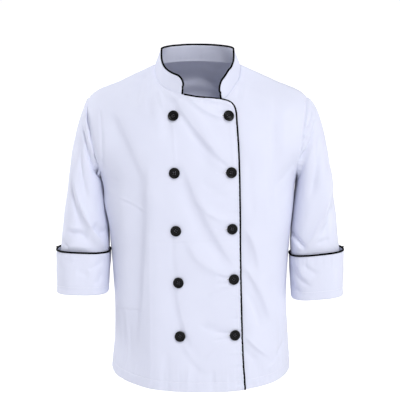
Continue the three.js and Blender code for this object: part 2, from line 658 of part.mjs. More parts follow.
// The stand collar, on the top edges of the two fronts and the back. Its front ends are rounded.
function collar(rightFront, back, leftFront) {
  const edge = [];
  const take = (grid, j) => {
    const row = grid.outer.length - 1;
    edge.push({ outer: grid.outer[row][j], inner: grid.inner[row][j] });
  };
  for (let j = SIDE_COLUMNS + COLLAR_RIGHT_COLUMN; j > 0; j--) take(rightFront, j);
  for (let j = BACK_COLUMNS; j >= 0; j--) take(back, j);
  const leftEnd = SIDE_COLUMNS + OVERLAP_X.length - 1 - COLLAR_LEFT_COLUMN;
  for (let j = 1; j <= leftEnd; j++) take(leftFront, j);
  const between = (a, b, share) => ({
    outer: a.outer.clone().lerp(b.outer, share),
    inner: a.inner.clone().lerp(b.inner, share),
  });
  // The edge is divided more finely at the rounded ends.
  const base = [];
  edge.forEach((p, i) => {
    const parts = i < 1 || i > edge.length - 4 ? COLLAR.endParts : 1;
    base.push(p);
    if (i === edge.length - 1) return;
    for (let k = 1; k < parts; k++) base.push(between(p, edge[i + 1], k / parts));
  });
  const runs = [0];
  for (let i = 1; i < base.length; i++) runs.push(runs[i - 1] + base[i].outer.distanceTo(base[i - 1].outer));
  const total = runs[runs.length - 1];
  const corner = COLLAR.height - COLLAR.endHeight;
  const columns = base.map(({ outer }, i) => {
    const fromEnd = Math.min(runs[i], total - runs[i]);
    const short = Math.max(0, corner - fromEnd);
    const height = COLLAR.endHeight + Math.sqrt(corner * corner - short * short);
    const along = base[Math.min(i + 1, base.length - 1)].outer.clone().sub(base[Math.max(i - 1, 0)].outer);
    const flatOut = along.cross(new THREE.Vector3(0, 0, 1)).setZ(0).normalize();
    if (flatOut.dot(outer) < 0) flatOut.negate();
    const ahead = Math.max(0, -flatOut.y);
    const behind = Math.max(0, flatOut.y);
    const lean = lerp(lerp(COLLAR.sideLean, COLLAR.frontLean, ahead), COLLAR.backLean, behind);
    const up = new THREE.Vector3(0, 0, Math.cos(rad(lean))).addScaledVector(flatOut, -Math.sin(rad(lean)));
    const out = flatOut.clone().multiplyScalar(Math.cos(rad(lean))).setZ(Math.sin(rad(lean)));
    const middle = outer.clone().addScaledVector(up, 2 * SEAM).addScaledVector(out, -COLLAR_CLOTH / 2);
    return { middle, up, out, height };
  });
  const grid = (side) =>
    [...Array(COLLAR.rows + 1).keys()].map((i) =>
      columns.map(({ middle, up, out, height }) =>
        middle
          .clone()
          .addScaledVector(up, (height * i) / COLLAR.rows)
          .addScaledVector(out, (side * COLLAR_CLOTH) / 2),
      ),
    );
  const [outer, inner] = [grid(1), grid(-1)];
  const end = columns.length - 1;
  const rim = (layer) => [
    ...layer.map((row) => row[0]),
    ...layer[COLLAR.rows].slice(1, end),
    ...layer.map((row) => row[end]).reverse(),
  ];
  return { geometry: wall(COLLAR.rows, end, outer, inner, false), rim: [rim(outer), rim(inner)] };
}

// A turned body from a profile of rows with a radius and a height, closed by its middle points.
function turned(profile, segments, centre, axis) {
  const side = new THREE.Vector3(1, 0, 0).addScaledVector(axis, -axis.x).normalize();
  const up = axis.clone().cross(side);
  const at = (radius, height, turn) =>
    centre
      .clone()
      .addScaledVector(axis, height)
      .addScaledVector(side, radius * Math.cos(turn))
      .addScaledVector(up, radius * Math.sin(turn));
  const [positions, faces] = [[], []];
  for (const { radius, height } of profile)
    for (let k = 0; k < segments; k++)
      positions.push(...at(radius, height, (2 * Math.PI * k) / segments).toArray());
  const last = profile.length - 1;
  positions.push(...at(0, profile[0].height, 0).toArray(), ...at(0, profile[last].height, 0).toArray());
  const index = (i, k) => i * segments + (k % segments);
  for (let k = 0; k < segments; k++) {
    for (let i = 0; i < last; i++) {
      faces.push(index(i, k), index(i, k + 1), index(i + 1, k + 1));
      faces.push(index(i, k), index(i + 1, k + 1), index(i + 1, k));
    }
    faces.push((last + 1) * segments, index(0, k + 1), index(0, k));
    faces.push((last + 1) * segments + 1, index(last, k), index(last, k + 1));
  }
  return facingOut(positions, faces);
}

// A button at a place of the front view, square to the cloth round it and clear of it.
function button(cloth, x, z) {
  const ray = new THREE.Raycaster();
  const surface = (dx, dz) => {
    ray.set(new THREE.Vector3(x + dx, IN_FRONT, z + dz), new THREE.Vector3(0, 1, 0));
    return ray.intersectObject(cloth)[0].point;
  };
  const rim = [0, 45, 90, 135, 180, 225, 270, 315].map((turn) =>
    surface(BUTTON.radius * Math.cos(rad(turn)), BUTTON.radius * Math.sin(rad(turn))),
  );
  const across = rim[0].clone().sub(rim[4]);
  const upward = rim[2].clone().sub(rim[6]);
  const axis = across.cross(upward).normalize();
  if (axis.y > 0) axis.negate();
  const foot = surface(0, 0);
  const highest = Math.max(0, ...rim.map((p) => p.clone().sub(foot).dot(axis)));
  const base = highest + BUTTON.standOff;
  const profile = [
    { radius: BUTTON.shankRadius, height: SEAM },
    { radius: BUTTON.shankRadius, height: base },
    { radius: BUTTON.radius - BUTTON.bevel, height: base },
    { radius: BUTTON.radius, height: base + BUTTON.bevel },
    { radius: BUTTON.radius - BUTTON.topBevel, height: base + BUTTON.rimHeight - BUTTON.topBevel },
    { radius: BUTTON.radius - BUTTON.bevel, height: base + BUTTON.rimHeight },
    { radius: BUTTON.radius - BUTTON.rimWidth, height: base + BUTTON.dishHeight },
  ];
  return turned(profile, BUTTON.sides, foot, axis);
}

const group = new THREE.Group();
function add(name, geometry, look) {
  const mesh = new THREE.Mesh(geometry, new THREE.MeshStandardMaterial(look));
  mesh.name = name;
  group.add(mesh);
  return mesh;
}

const rightFront = front(-1, SIDE_COLUMNS, outerTopZ, overlapLift);
const leftFront = front(1, SIDE_COLUMNS, innerTopZ, flat);
const back = backPanel(BACK_COLUMNS);
const outerCloth = add("front_right", rightFront.geometry, WHITE);
add("front_left", leftFront.geometry, WHITE);
add("back", back.geometry, WHITE);

const stand = collar(rightFront, back, leftFront);
add("collar", stand.geometry, WHITE);
const rimCord = besideEdge(stand.rim[0], stand.rim[1], 1);
add("collar_piping", cord(rimCord.path, rimCord.across, false), BLACK_CORD);

// The front's cord starts clear of the collar's, and turns the corner down to the hem.
const edgeOf = (grid) => {
  const topRow = grid.length - 1;
  const start = SIDE_COLUMNS + COLLAR_RIGHT_COLUMN;
  const first = grid[topRow][start].clone().lerp(grid[topRow][start + 1], 0.25);
  const down = grid.map((row) => row[row.length - 1]).reverse();
  return [first, ...grid[topRow].slice(start + 1, -1), ...down];
};
const frontCord = besideEdge(edgeOf(rightFront.outer), edgeOf(rightFront.inner), -1);
add("front_piping", cord(frontCord.path, frontCord.across, false), BLACK_CORD);

for (const side of SIDES) {
  add("sleeve_" + side.name, sleeve(side), WHITE);
  add("cuff_" + side.name, cuff(side), WHITE);
  const ring = cuffRing(side, side.topZ - side.footZ + CORD.radius + SEAM);
  const path = TURNS.map((turn) => armPoint(side, ring, turn, CUFF_CLOTH / 2));
  const outwards = TURNS.map((turn) => armPoint(side, ring, turn, -1).sub(armPoint(side, ring, turn, 0)));
  add("cuff_piping_" + side.name, cord(path, outwards, true), BLACK_CORD);
}

BUTTON_ROWS.forEach((row, i) => {
  add("button_right_" + (i + 1), button(outerCloth, row.rightX, row.rightZ), BLACK_RESIN);
  add("button_left_" + (i + 1), button(outerCloth, row.leftX, row.leftZ), BLACK_RESIN);
});

export default group;
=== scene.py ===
"""A worn, hollow double-breasted chef jacket of white twill, dressed over its solids.

The body, sleeves, cuffs and collar are thin sheets of cloth with folds placed one by one, sewn
edges, corded piping, topstitching, buttonholes and four-hole buttons.

Lengths are millimetres until a mesh is made, which is in metres. X is the wearer's left, the
front faces -Y and +Z is up. The origin is the middle of the neck at the shoulder-neck points.
"""
import logging
import math
from dataclasses import dataclass, field, fields
from enum import Enum
from typing import Callable, Optional, Sequence

import bmesh
import bpy
import numpy as np
from mathutils import Matrix, Vector
from mathutils.bvhtree import BVHTree
from mathutils.kdtree import KDTree


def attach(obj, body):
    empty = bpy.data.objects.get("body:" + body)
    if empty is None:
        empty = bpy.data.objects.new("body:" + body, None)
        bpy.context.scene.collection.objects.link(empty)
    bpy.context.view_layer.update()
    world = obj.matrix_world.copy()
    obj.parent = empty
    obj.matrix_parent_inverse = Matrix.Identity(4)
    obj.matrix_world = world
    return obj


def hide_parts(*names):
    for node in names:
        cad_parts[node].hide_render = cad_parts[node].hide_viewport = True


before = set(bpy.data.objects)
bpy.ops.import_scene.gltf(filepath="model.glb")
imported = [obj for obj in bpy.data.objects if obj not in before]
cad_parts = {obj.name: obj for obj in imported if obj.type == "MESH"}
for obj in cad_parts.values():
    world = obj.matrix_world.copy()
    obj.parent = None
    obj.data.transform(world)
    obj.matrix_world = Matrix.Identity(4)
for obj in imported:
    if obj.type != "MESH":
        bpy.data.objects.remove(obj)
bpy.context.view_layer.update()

METRE = 0.001
ROOT = "root"
LOG = logging.getLogger("chef_jacket")

SLOT_TWILL = "white_twill"
SLOT_CORD = "black_cord"
SLOT_RESIN = "black_resin"

# How far apart the lines of a diagonal wave are, as a share of its scale.
WAVE_PITCH = 0.444
# Halvings of a search, which leave less than a millionth of its span.
SEARCH_STEPS = 26
# How far the cloth rolls in at the side seams and armholes.
SEAM_ROLL = 1.6


Reading = Callable[[np.ndarray], np.ndarray]


class Side(Enum):
    """A side of the wearer, with the sign of its X."""

    RIGHT = -1
    LEFT = 1

    @property
    def word(self) -> str:
        """The side's name as the pieces write it."""
        return self.name.lower()


# Numbers and curves


def smooth(value: np.ndarray, start: float, end: float) -> np.ndarray:
    """Rise smoothly from 0 at start to 1 at end."""
    t = np.clip((value - start) / (end - start), 0, 1)
    return t * t * (3 - 2 * t)


def lerp(a: np.ndarray, b: np.ndarray, share: np.ndarray) -> np.ndarray:
    """Mix a and b by share."""
    return a + (b - a) * share


def unit(vectors: np.ndarray) -> np.ndarray:
    """Scale vectors to a length of 1."""
    return vectors / np.maximum(np.linalg.norm(vectors, axis=-1, keepdims=True), 1e-9)


def runs_along(points: np.ndarray) -> np.ndarray:
    """Give each point's distance along its line, from its first point.

    Args:
        points: Lines of points, with the points on the last axis but one.

    Returns:
        The distances, in the unit of the points.
    """
    steps = np.linalg.norm(np.diff(points, axis=-2), axis=-1)
    start = np.zeros(steps.shape[:-1] + (1,))
    return np.concatenate([start, np.cumsum(steps, axis=-1)], axis=-1)


def resampled(points: np.ndarray, at: np.ndarray) -> np.ndarray:
    """Read a line of points at distances along it."""
    runs = runs_along(points)
    return np.stack([np.interp(at, runs, points[:, k]) for k in range(points.shape[1])], axis=-1)


def bisected(low: np.ndarray, high: np.ndarray, short: Reading) -> np.ndarray:
    """Find where a test turns from true to false between two arrays.

    Args:
        low: Values at which the test is true.
        high: Values at which it is false.
        short: The test, for an array of values.

    Returns:
        The values at the turn.
    """
    for _ in range(SEARCH_STEPS):
        middle = (low + high) / 2
        under = short(middle)
        low = np.where(under, middle, low)
        high = np.where(under, high, middle)
    return (low + high) / 2


class Table:
    """A smooth curve through rows of a key and a value."""

    def __init__(self, keys: Sequence[float], values: Sequence[float]) -> None:
        """Keep the rows with rising keys, and each row's slope from its neighbours.

        Args:
            keys: Each row's key.
            values: Each row's value.
        """
        order = np.argsort(keys)
        self.keys = np.array(keys, float)[order]
        self.values = np.array(values, float)[order]
        count = len(self.keys)
        before = np.maximum(np.arange(count) - 1, 0)
        after = np.minimum(np.arange(count) + 1, count - 1)
        rise = self.values[after] - self.values[before]
        self.slopes = rise / (self.keys[after] - self.keys[before])

    def __call__(self, at: np.ndarray) -> np.ndarray:
        """Read the curve.

        Args:
            at: Keys, which may lie between the rows' keys.

        Returns:
            The value at each.
        """
        at = np.asarray(at, float)
        i = np.clip(np.searchsorted(self.keys, at, side="right") - 1, 0, len(self.keys) - 2)
        span = self.keys[i + 1] - self.keys[i]
        t = np.clip((at - self.keys[i]) / span, 0, 1)
        t2, t3 = t * t, t * t * t
        start = (2 * t3 - 3 * t2 + 1) * self.values[i] + (t3 - 2 * t2 + t) * span * self.slopes[i]
        end = (3 * t2 - 2 * t3) * self.values[i + 1] + (t3 - t2) * span * self.slopes[i + 1]
        return start + end


@dataclass(frozen=True)
class Fold:
    """A trough or ridge of the cloth, as seen from the front or the back.

    It runs from (x0, z0) to (x1, z1). bow moves its middle sideways, width is its half width,
    height how far it stands out, lean makes its left side, looking along it, steeper, and peak is
    2 for a soft fold and nearer 1 for a crisp one.
    """

    x0: float
    z0: float
    x1: float
    z1: float
    bow: float
    width: float
    height: float
    lean: float = 0.0
    peak: float = 2.0

    def rise(self, x: np.ndarray, z: np.ndarray) -> np.ndarray:
        """Give how far the fold lifts the cloth at places of the view.

        Args:
            x: Places across.
            z: Places up.

        Returns:
            The height at each place.
        """
        dx, dz = self.x1 - self.x0, self.z1 - self.z0
        length = math.hypot(dx, dz)
        t = ((x - self.x0) * dx + (z - self.z0) * dz) / length**2
        bend = self.bow * np.sin(np.pi * np.clip(t, 0, 1))
        side = ((x - self.x0) * dz - (z - self.z0) * dx) / length - bend
        ends = smooth(t, -0.12, 0.22) * (1 - smooth(t, 0.78, 1.12))
        width = self.width * np.where(side > 0, 1 - self.lean, 1 + self.lean)
        return self.height * ends * np.exp(-(np.hypot(side / width, 0.12) ** self.peak))


def rises(folds: Sequence[Fold], x: np.ndarray, z: np.ndarray) -> np.ndarray:
    """Add up the folds of one view.

    Args:
        folds: The view's folds.
        x: Places across.
        z: Places up.

    Returns:
        The height at each place.
    """
    total = np.zeros(np.broadcast(x, z).shape)
    for fold in folds:
        total += fold.rise(x, z)
    return total


def unevenness(x: np.ndarray, z: np.ndarray, seed: int, length: float, height: float) -> np.ndarray:
    """Gentle waves of worn cloth, in several directions.

    Args:
        x: Places across.
        z: Places up.
        seed: The number that the waves are drawn from.
        length: About how long a wave is.
        height: About how far it stands out.

    Returns:
        The height at each place.
    """
    draw = np.random.default_rng(seed)
    total = np.zeros(np.broadcast(x, z).shape)
    for _ in range(6):
        turn, phase, wave = draw.uniform(0, np.pi), draw.uniform(0, 6.28), length * draw.uniform(0.7, 1.6)
        total += np.sin((x * math.cos(turn) + z * math.sin(turn)) * 2 * np.pi / wave + phase)
    return height * total / 3


def puckers(along: np.ndarray, off: np.ndarray, reach: float, height: float, seed: int) -> np.ndarray:
    """The small ripples that sewing draws up beside a seam.

    Args:
        along: Distance along the seam.
        off: Distance from it.
        reach: How far from the seam they are highest.
        height: Their height there.
        seed: The number that they are drawn from.

    Returns:
        The height at each place, which is 0 on the seam itself.
    """
    draw = np.random.default_rng(seed)
    wave = np.zeros(along.shape)
    for pitch in (8.5, 12.7, 19.3, 33.0):
        wave += np.sin(2 * np.pi * along / pitch + draw.uniform(0, 6.28) + 1.3 * np.sin(along / 41.0))
    return height * wave / 2.2 * (off / reach) * np.exp(1 - off / reach)


class Edge:
    """An edge of a sheet that distances are measured from."""

    STEP = 0.5

    def __init__(self, line: np.ndarray) -> None:
        """Keep points of the line close together, in a tree.

        Args:
            line: Points of the edge, in order.
        """
        at = np.arange(0, runs_along(line)[-1], self.STEP)
        self.line = resampled(line, at)
        self.tree = KDTree(len(self.line))
        for i, point in enumerate(self.line):
            self.tree.insert(point, i)
        self.tree.balance()

    def measure(self, points: np.ndarray) -> tuple[np.ndarray, np.ndarray]:
        """Measure points against the line.

        Args:
            points: A grid of points.

        Returns:
            Each point's distance along the line, and its distance from it.
        """
        found = [self.tree.find(point) for point in points.reshape(-1, 3)]
        along = np.array([index * self.STEP for _, index, _ in found]).reshape(points.shape[:-1])
        off = np.array([distance for _, _, distance in found]).reshape(points.shape[:-1])
        return along, off


def seam_dip(off: np.ndarray, depth: float = 1.1) -> np.ndarray:
    """How far the cloth rolls in at a sewn edge."""
    return -depth * np.exp(-((off / 1.9) ** 1.5))


def stitch_dip(off: np.ndarray, at: float, depth: float = 0.4) -> np.ndarray:
    """The shallow groove that a row of topstitching presses into the cloth."""
    return -depth * np.exp(-(((off - at) / 1.5) ** 2))


# Finishes


def colour(code: str) -> tuple[float, float, float, float]:
    """Turn an sRGB hex colour to linear.

    Args:
        code: The colour, as # and six hex digits.

    Returns:
        Its linear red, green and blue, with an alpha of 1.
    """
    values = [int(code[i : i + 2], 16) / 255 for i in (1, 3, 5)]
    linear = [v / 12.92 if v <= 0.04045 else ((v + 0.055) / 1.055) ** 2.4 for v in values]
    return (*linear, 1.0)


def node(
    tree: bpy.types.NodeTree, kind: str, inputs: Optional[dict] = None, **settings: object
) -> bpy.types.Node:
    """Add one shader node.

    Args:
        tree: The material's nodes.
        kind: The node's type.
        inputs: Values or sockets for its inputs, by name or number.
        settings: Its other properties.

    Returns:
        The node.
    """
    made = tree.nodes.new(kind)
    for name, value in settings.items():
        setattr(made, name, value)
    for name, value in (inputs or {}).items():
        if isinstance(value, bpy.types.NodeSocket):
            tree.links.new(value, made.inputs[name])
        else:
            made.inputs[name].default_value = value
    return made


def new_material(name: str) -> tuple[bpy.types.Material, bpy.types.NodeTree]:
    """Make an empty node material.

    Args:
        name: The material's name.

    Returns:
        The material and its nodes.
    """
    material = bpy.data.materials.new(name)
    material.use_nodes = True
    material.node_tree.nodes.clear()
    return material, material.node_tree


@dataclass(frozen=True)
class WhiteTwill:
    """Polyester and cotton twill, bleached, pressed and worn: matte, with a cool white.

    Its diagonal ribs are about 0.5 mm apart and are drawn at 1.1 mm so that they show.
    """

    name: str = "white_twill_cloth"
    lit: str = "#DEE1F1"
    dull: str = "#D9DCED"
    rib: float = 1.1
    yarn: float = 0.6
    cloud: float = 70.0

    def material(self) -> bpy.types.Material:
        """Make the material, on the cloth's own UV map in metres."""
        made, tree = new_material(self.name)
        flat = node(tree, "ShaderNodeUVMap", uv_map="cloth").outputs["UV"]
        clouds = node(
            tree, "ShaderNodeTexNoise",
            {"Vector": flat, "Scale": 1 / (self.cloud * METRE), "Detail": 2.0},
        )
        tint = node(
            tree, "ShaderNodeMix",
            {"Factor": clouds.outputs["Fac"], 6: colour(self.dull), 7: colour(self.lit)},
            data_type="RGBA",
        )
        ribs = node(
            tree, "ShaderNodeTexWave",
            {
                "Vector": flat, "Scale": WAVE_PITCH / (self.rib * METRE), "Distortion": 1.2, "Detail": 1.0,
                "Detail Scale": 3.0,
            },
            bands_direction="DIAGONAL",
        )
        yarns = node(
            tree, "ShaderNodeTexNoise",
            {"Vector": flat, "Scale": 1 / (self.yarn * METRE), "Detail": 3.0},
        )
        relief = node(
            tree, "ShaderNodeMath", {0: ribs.outputs["Fac"], 1: yarns.outputs["Fac"]}, operation="ADD",
        )
        bump = node(
            tree, "ShaderNodeBump", {"Height": relief.outputs[0], "Strength": 0.16, "Distance": 0.0003},
        )
        rough = node(
            tree, "ShaderNodeMapRange", {"Value": yarns.outputs["Fac"], "To Min": 0.8, "To Max": 0.92},
        )
        cloth = node(
            tree, "ShaderNodeBsdfPrincipled",
            {
                "Base Color": tint.outputs[2], "Roughness": rough.outputs[0], "IOR": 1.5,
                "Specular IOR Level": 0.25, "Sheen Weight": 0.12, "Sheen Roughness": 0.55,
                "Normal": bump.outputs[0],
            },
        )
        node(tree, "ShaderNodeOutputMaterial", {"Surface": cloth.outputs[0]})
        return made


@dataclass(frozen=True)
class BlackCord:
    """Piping of black cotton over a cord: matte, finely ribbed across, slightly fluffy."""

    name: str = "black_cotton_piping"
    base: str = "#060607"
    rib: float = 0.9

    def material(self) -> bpy.types.Material:
        """Make the material, with ribs that wind round the cord on its UV map and painted shade in their
        grooves.
        """
        made, tree = new_material(self.name)
        flat = node(tree, "ShaderNodeUVMap", uv_map="cloth").outputs["UV"]
        ribs = node(
            tree, "ShaderNodeTexWave",
            {"Vector": flat, "Scale": WAVE_PITCH / (self.rib * METRE), "Distortion": 0.6, "Detail": 1.0},
            bands_direction="DIAGONAL",
        )
        bump = node(
            tree, "ShaderNodeBump", {"Height": ribs.outputs["Fac"], "Strength": 0.5, "Distance": 0.0003},
        )
        # Painted shade: the colour is darker in the ribs' grooves, where the bump is low.
        painted_groove_shade = node(
            tree, "ShaderNodeMix",
            {"Factor": ribs.outputs["Fac"], 6: colour("#020203"), 7: colour(self.base)}, data_type="RGBA",
        )
        cloth = node(
            tree, "ShaderNodeBsdfPrincipled",
            {
                "Base Color": painted_groove_shade.outputs[2], "Roughness": 0.9, "IOR": 1.5, "Specular IOR Level": 0.06,
                "Sheen Weight": 0.01, "Sheen Roughness": 0.5, "Normal": bump.outputs[0],
            },
        )
        node(tree, "ShaderNodeOutputMaterial", {"Surface": cloth.outputs[0]})
        return made


@dataclass(frozen=True)
class BlackResin:
    """Cast polyester resin, turned and tumbled: black, satin, with fine tumbling marks."""

    name: str = "black_polyester_resin"
    base: str = "#050506"
    marks: float = 1.6

    def material(self) -> bpy.types.Material:
        """Make the material on object coordinates."""
        made, tree = new_material(self.name)
        place = node(tree, "ShaderNodeTexCoord").outputs["Object"]
        marks = node(
            tree, "ShaderNodeTexNoise", {"Vector": place, "Scale": 1 / (self.marks * METRE), "Detail": 4.0},
        )
        rough = node(
            tree, "ShaderNodeMapRange", {"Value": marks.outputs["Fac"], "To Min": 0.26, "To Max": 0.42},
        )
        bump = node(
            tree, "ShaderNodeBump", {"Height": marks.outputs["Fac"], "Strength": 0.08, "Distance": 0.0002},
        )
        resin = node(
            tree, "ShaderNodeBsdfPrincipled",
            {
                "Base Color": colour(self.base), "Roughness": rough.outputs[0], "IOR": 1.56,
                "Specular IOR Level": 0.15, "Normal": bump.outputs[0],
            },
        )
        node(tree, "ShaderNodeOutputMaterial", {"Surface": resin.outputs[0]})
        return made


@dataclass(frozen=True)
class SewingThread:
    """Spun polyester thread: slightly glossier than the cloth, with a twist."""

    name: str
    base: str
    twist: float = 0.5

    def material(self) -> bpy.types.Material:
        """Make the material on object coordinates."""
        made, tree = new_material(self.name)
        place = node(tree, "ShaderNodeTexCoord").outputs["Object"]
        twist = node(
            tree, "ShaderNodeTexWave", {"Vector": place, "Scale": WAVE_PITCH / (self.twist * METRE)},
            bands_direction="DIAGONAL",
        )
        bump = node(
            tree, "ShaderNodeBump", {"Height": twist.outputs["Fac"], "Strength": 0.3, "Distance": 0.0002},
        )
        thread = node(
            tree, "ShaderNodeBsdfPrincipled",
            {"Base Color": colour(self.base), "Roughness": 0.6, "IOR": 1.5, "Normal": bump.outputs[0]},
        )
        node(tree, "ShaderNodeOutputMaterial", {"Surface": thread.outputs[0]})
        return made


@dataclass(frozen=True)
class StudioPaper:
    """Seamless background paper: matte and pale, with a painted glow that rises away from the jacket."""

    name: str = "studio_paper_painted_glow"
    base: str = "#DCDCDF"
    plain_radius: float = 0.8
    painted_glow_full_radius: float = 2.4
    glow: float = 0.5

    def material(self) -> bpy.types.Material:
        """Make the material, with the paper's faint tooth and its painted glow."""
        made, tree = new_material(self.name)
        place = node(tree, "ShaderNodeTexCoord").outputs["Object"]
        tooth = node(tree, "ShaderNodeTexNoise", {"Vector": place, "Scale": 900.0})
        bump = node(
            tree, "ShaderNodeBump", {"Height": tooth.outputs["Fac"], "Strength": 0.03, "Distance": 0.0002},
        )
        # Painted light: beyond its plain middle the paper glows more and more, up to a far radius, so it
        # looks white far off and greyer under the jacket.
        away = node(tree, "ShaderNodeVectorMath", {0: place}, operation="LENGTH").outputs["Value"]
        glow = node(
            tree, "ShaderNodeMapRange",
            {
                "Value": away, "From Min": self.plain_radius, "From Max": self.painted_glow_full_radius,
                "To Min": 0.0, "To Max": self.glow,
            },
            interpolation_type="SMOOTHSTEP",
        )
        paper = node(
            tree, "ShaderNodeBsdfPrincipled",
            {
                "Base Color": colour(self.base), "Roughness": 0.95, "Specular IOR Level": 0.0,
                "Emission Color": colour("#FFFFFF"), "Emission Strength": glow.outputs[0],
                "Normal": bump.outputs[0],
            },
        )
        node(tree, "ShaderNodeOutputMaterial", {"Surface": paper.outputs[0]})
        return made


@dataclass
class Finishes:
    """One material of each finish, for all pieces."""

    twill: bpy.types.Material = field(default_factory=lambda: WhiteTwill().material())
    cord: bpy.types.Material = field(default_factory=lambda: BlackCord().material())
    resin: bpy.types.Material = field(default_factory=lambda: BlackResin().material())
    white_thread: bpy.types.Material = field(
        default_factory=lambda: SewingThread("white_polyester_thread", "#F1F2FA").material()
    )
    # Black thread for the buttons; the buttonhole slits' painted shadow uses it too.
    black_thread: bpy.types.Material = field(
        default_factory=lambda: SewingThread("black_polyester_thread_and_slit_shadow", "#2A2A30").material()
    )
    paper: bpy.types.Material = field(default_factory=lambda: StudioPaper().material())


# Meshes


def grid_normals(points: np.ndarray, closed: bool, away: np.ndarray) -> np.ndarray:
    """Work out a grid's normals, on the side of the away vectors.

    Args:
        points: The grid of points.
        closed: Whether its last column lies on its first.
        away: A vector near each normal.

    Returns:
        The normals.
    """
    if closed:
        ring = np.concatenate([points[:, -2:-1], points, points[:, 1:2]], axis=1)
        across = ring[:, 2:] - ring[:, :-2]
    else:
        across = np.gradient(points, axis=1)
    down = np.gradient(points, axis=0)
    normals = unit(np.cross(across, down))
    return normals * np.where(np.sum(normals * away, axis=-1, keepdims=True) < 0, -1, 1)


@dataclass
class Sheet:
    """A sheet's grid of points in millimetres, its outward directions and the piece made of it."""

    points: np.ndarray
    outward: np.ndarray
    piece: bpy.types.Object
    tree: BVHTree


def grid_piece(
    name: str, points: np.ndarray, away: np.ndarray, material: bpy.types.Material, closed: bool = False
) -> Sheet:
    """Make a piece from a grid of points.

    Args:
        name: The piece's name.
        points: Its points, with one row of the grid after another.
        away: Vectors that point away from its front side.
        material: Its material.
        closed: Whether its last column is sewn to its first.

    Returns:
        The sheet.
    """
    rows, columns = points.shape[0] - 1, points.shape[1] - 1
    bm = bmesh.new()
    bmesh.ops.create_grid(bm, x_segments=columns, y_segments=rows, size=1)
    mesh = bpy.data.meshes.new(name)
    bm.to_mesh(mesh)
    bm.free()
    count = len(mesh.vertices)
    flat = np.empty(count * 3)
    mesh.vertices.foreach_get("co", flat)
    flat = flat.reshape(-1, 3).round(5)
    order = np.lexsort((flat[:, 0], flat[:, 1]))
    placed = np.empty((count, 3))
    placed[order] = points.reshape(-1, 3) * METRE
    mesh.vertices.foreach_set("co", placed.ravel())

    # The UV map is the cloth laid flat, in metres.
    laid = np.empty((count, 2))
    across = runs_along(points)
    across = across - across[:, columns // 2 : columns // 2 + 1]
    down = runs_along(points.swapaxes(0, 1)).swapaxes(0, 1)
    laid[order] = np.stack([across, down], axis=-1).reshape(-1, 2) * METRE
    corners = np.empty(len(mesh.loops), int)
    mesh.loops.foreach_get("vertex_index", corners)
    mesh.uv_layers.new(name="cloth").data.foreach_set("uv", laid[corners].ravel())

    normals = grid_normals(points, closed, away)
    turned = np.sum(np.cross(np.gradient(points, axis=1), np.gradient(points, axis=0)) * normals)
    bm = bmesh.new()
    bm.from_mesh(mesh)
    if turned < 0:
        bmesh.ops.reverse_faces(bm, faces=bm.faces)
    if closed:
        bmesh.ops.remove_doubles(bm, verts=bm.verts, dist=1e-6)
    for face in bm.faces:
        face.smooth = True
    tree = BVHTree.FromBMesh(bm)
    bm.to_mesh(mesh)
    bm.free()
    mesh.materials.append(material)
    piece = bpy.data.objects.new(name, mesh)
    bpy.context.collection.objects.link(piece)
    return Sheet(points, normals, piece, tree)


def thicken(piece: bpy.types.Object, thickness: float, doubled: Optional[np.ndarray] = None) -> None:
    """Give a sheet its wall, inwards from its outside.

    Args:
        piece: The sheet's piece.
        thickness: The wall where the cloth is doubled, or all over.
        doubled: Where it is doubled, one value for each point of an open grid in its row order.
    """
    wall = piece.modifiers.new("wall", "SOLIDIFY")
    wall.thickness = thickness * METRE
    wall.offset = -1
    wall.use_rim = True
    wall.use_quality_normals = True
    if doubled is None:
        return
    group = piece.vertex_groups.new(name="doubled")
    group.add(np.flatnonzero(doubled.ravel()).tolist(), 1.0, "REPLACE")
    wall.vertex_group = "doubled"
    wall.thickness_vertex_group = 0.5


def finish_piece(piece: bpy.types.Object, slot: str, *nodes: str) -> None:
    """Fix a piece to the jacket, in place of some solids, and report it.

    Args:
        piece: The piece.
        slot: The name of a finish's slot, which is only logged.
        nodes: The solids that it stands for.
    """
    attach(piece, ROOT)
    if nodes:
        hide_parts(*nodes)
    LOG.info("%s: %d faces, %s", piece.name, len(piece.data.polygons), slot)


def bmesh_piece(name: str, bm: bmesh.types.BMesh, material: bpy.types.Material) -> bpy.types.Object:
    """Make a smooth piece from a bmesh in metres, and free the bmesh.

    Args:
        name: The piece's name.
        bm: Its bmesh.
        material: Its material.

    Returns:
        The piece.
    """
    for face in bm.faces:
        face.smooth = True
    mesh = bpy.data.meshes.new(name)
    bm.to_mesh(mesh)
    bm.free()
    mesh.materials.append(material)
    piece = bpy.data.objects.new(name, mesh)
    bpy.context.collection.objects.link(piece)
    return piece


# The body's form and folds


@dataclass(frozen=True)
class Ring:
    """A ring of the body cloth.

    half is its half width, middle its centre, front and back its depths, side, fore and rear its
    heights, square how far from an ellipse it is and drop how its height falls to the front.
    """

    level: float
    half: float
    middle: float
    front: float
    back: float
    side: float
    fore: float
    rear: float
    square: float
    drop: float


RINGS = (
    Ring(0.0, 92, -2, 96, 78, 3, -58, 8, 2.0, 0.5),
    Ring(0.5, 163, -1, 107, 98, -30, -86, -20, 2.0, 0.7),
    Ring(1.0, 235, -1, 115, 113, -67, -118, -70, 2.1, 0.9),
    Ring(1.5, 248, 1, 124, 122, -150, -172, -150, 2.2, 1),
    Ring(2.0, 211, 3, 131, 125, -235, -235, -235, 2.3, 1),
    Ring(2.5, 204, 3, 134, 121, -302, -302, -302, 2.4, 1),
    Ring(3.0, 195, 3, 134, 114, -406, -406, -406, 2.4, 1),
    Ring(3.5, 190, 4, 135, 114, -505, -505, -505, 2.5, 1),
    Ring(4.0, 193, 6, 139, 123, -590, -592, -592, 2.4, 1),
    Ring(4.5, 199, 5, 144, 133, -664, -683, -684, 2.42, 1),
)

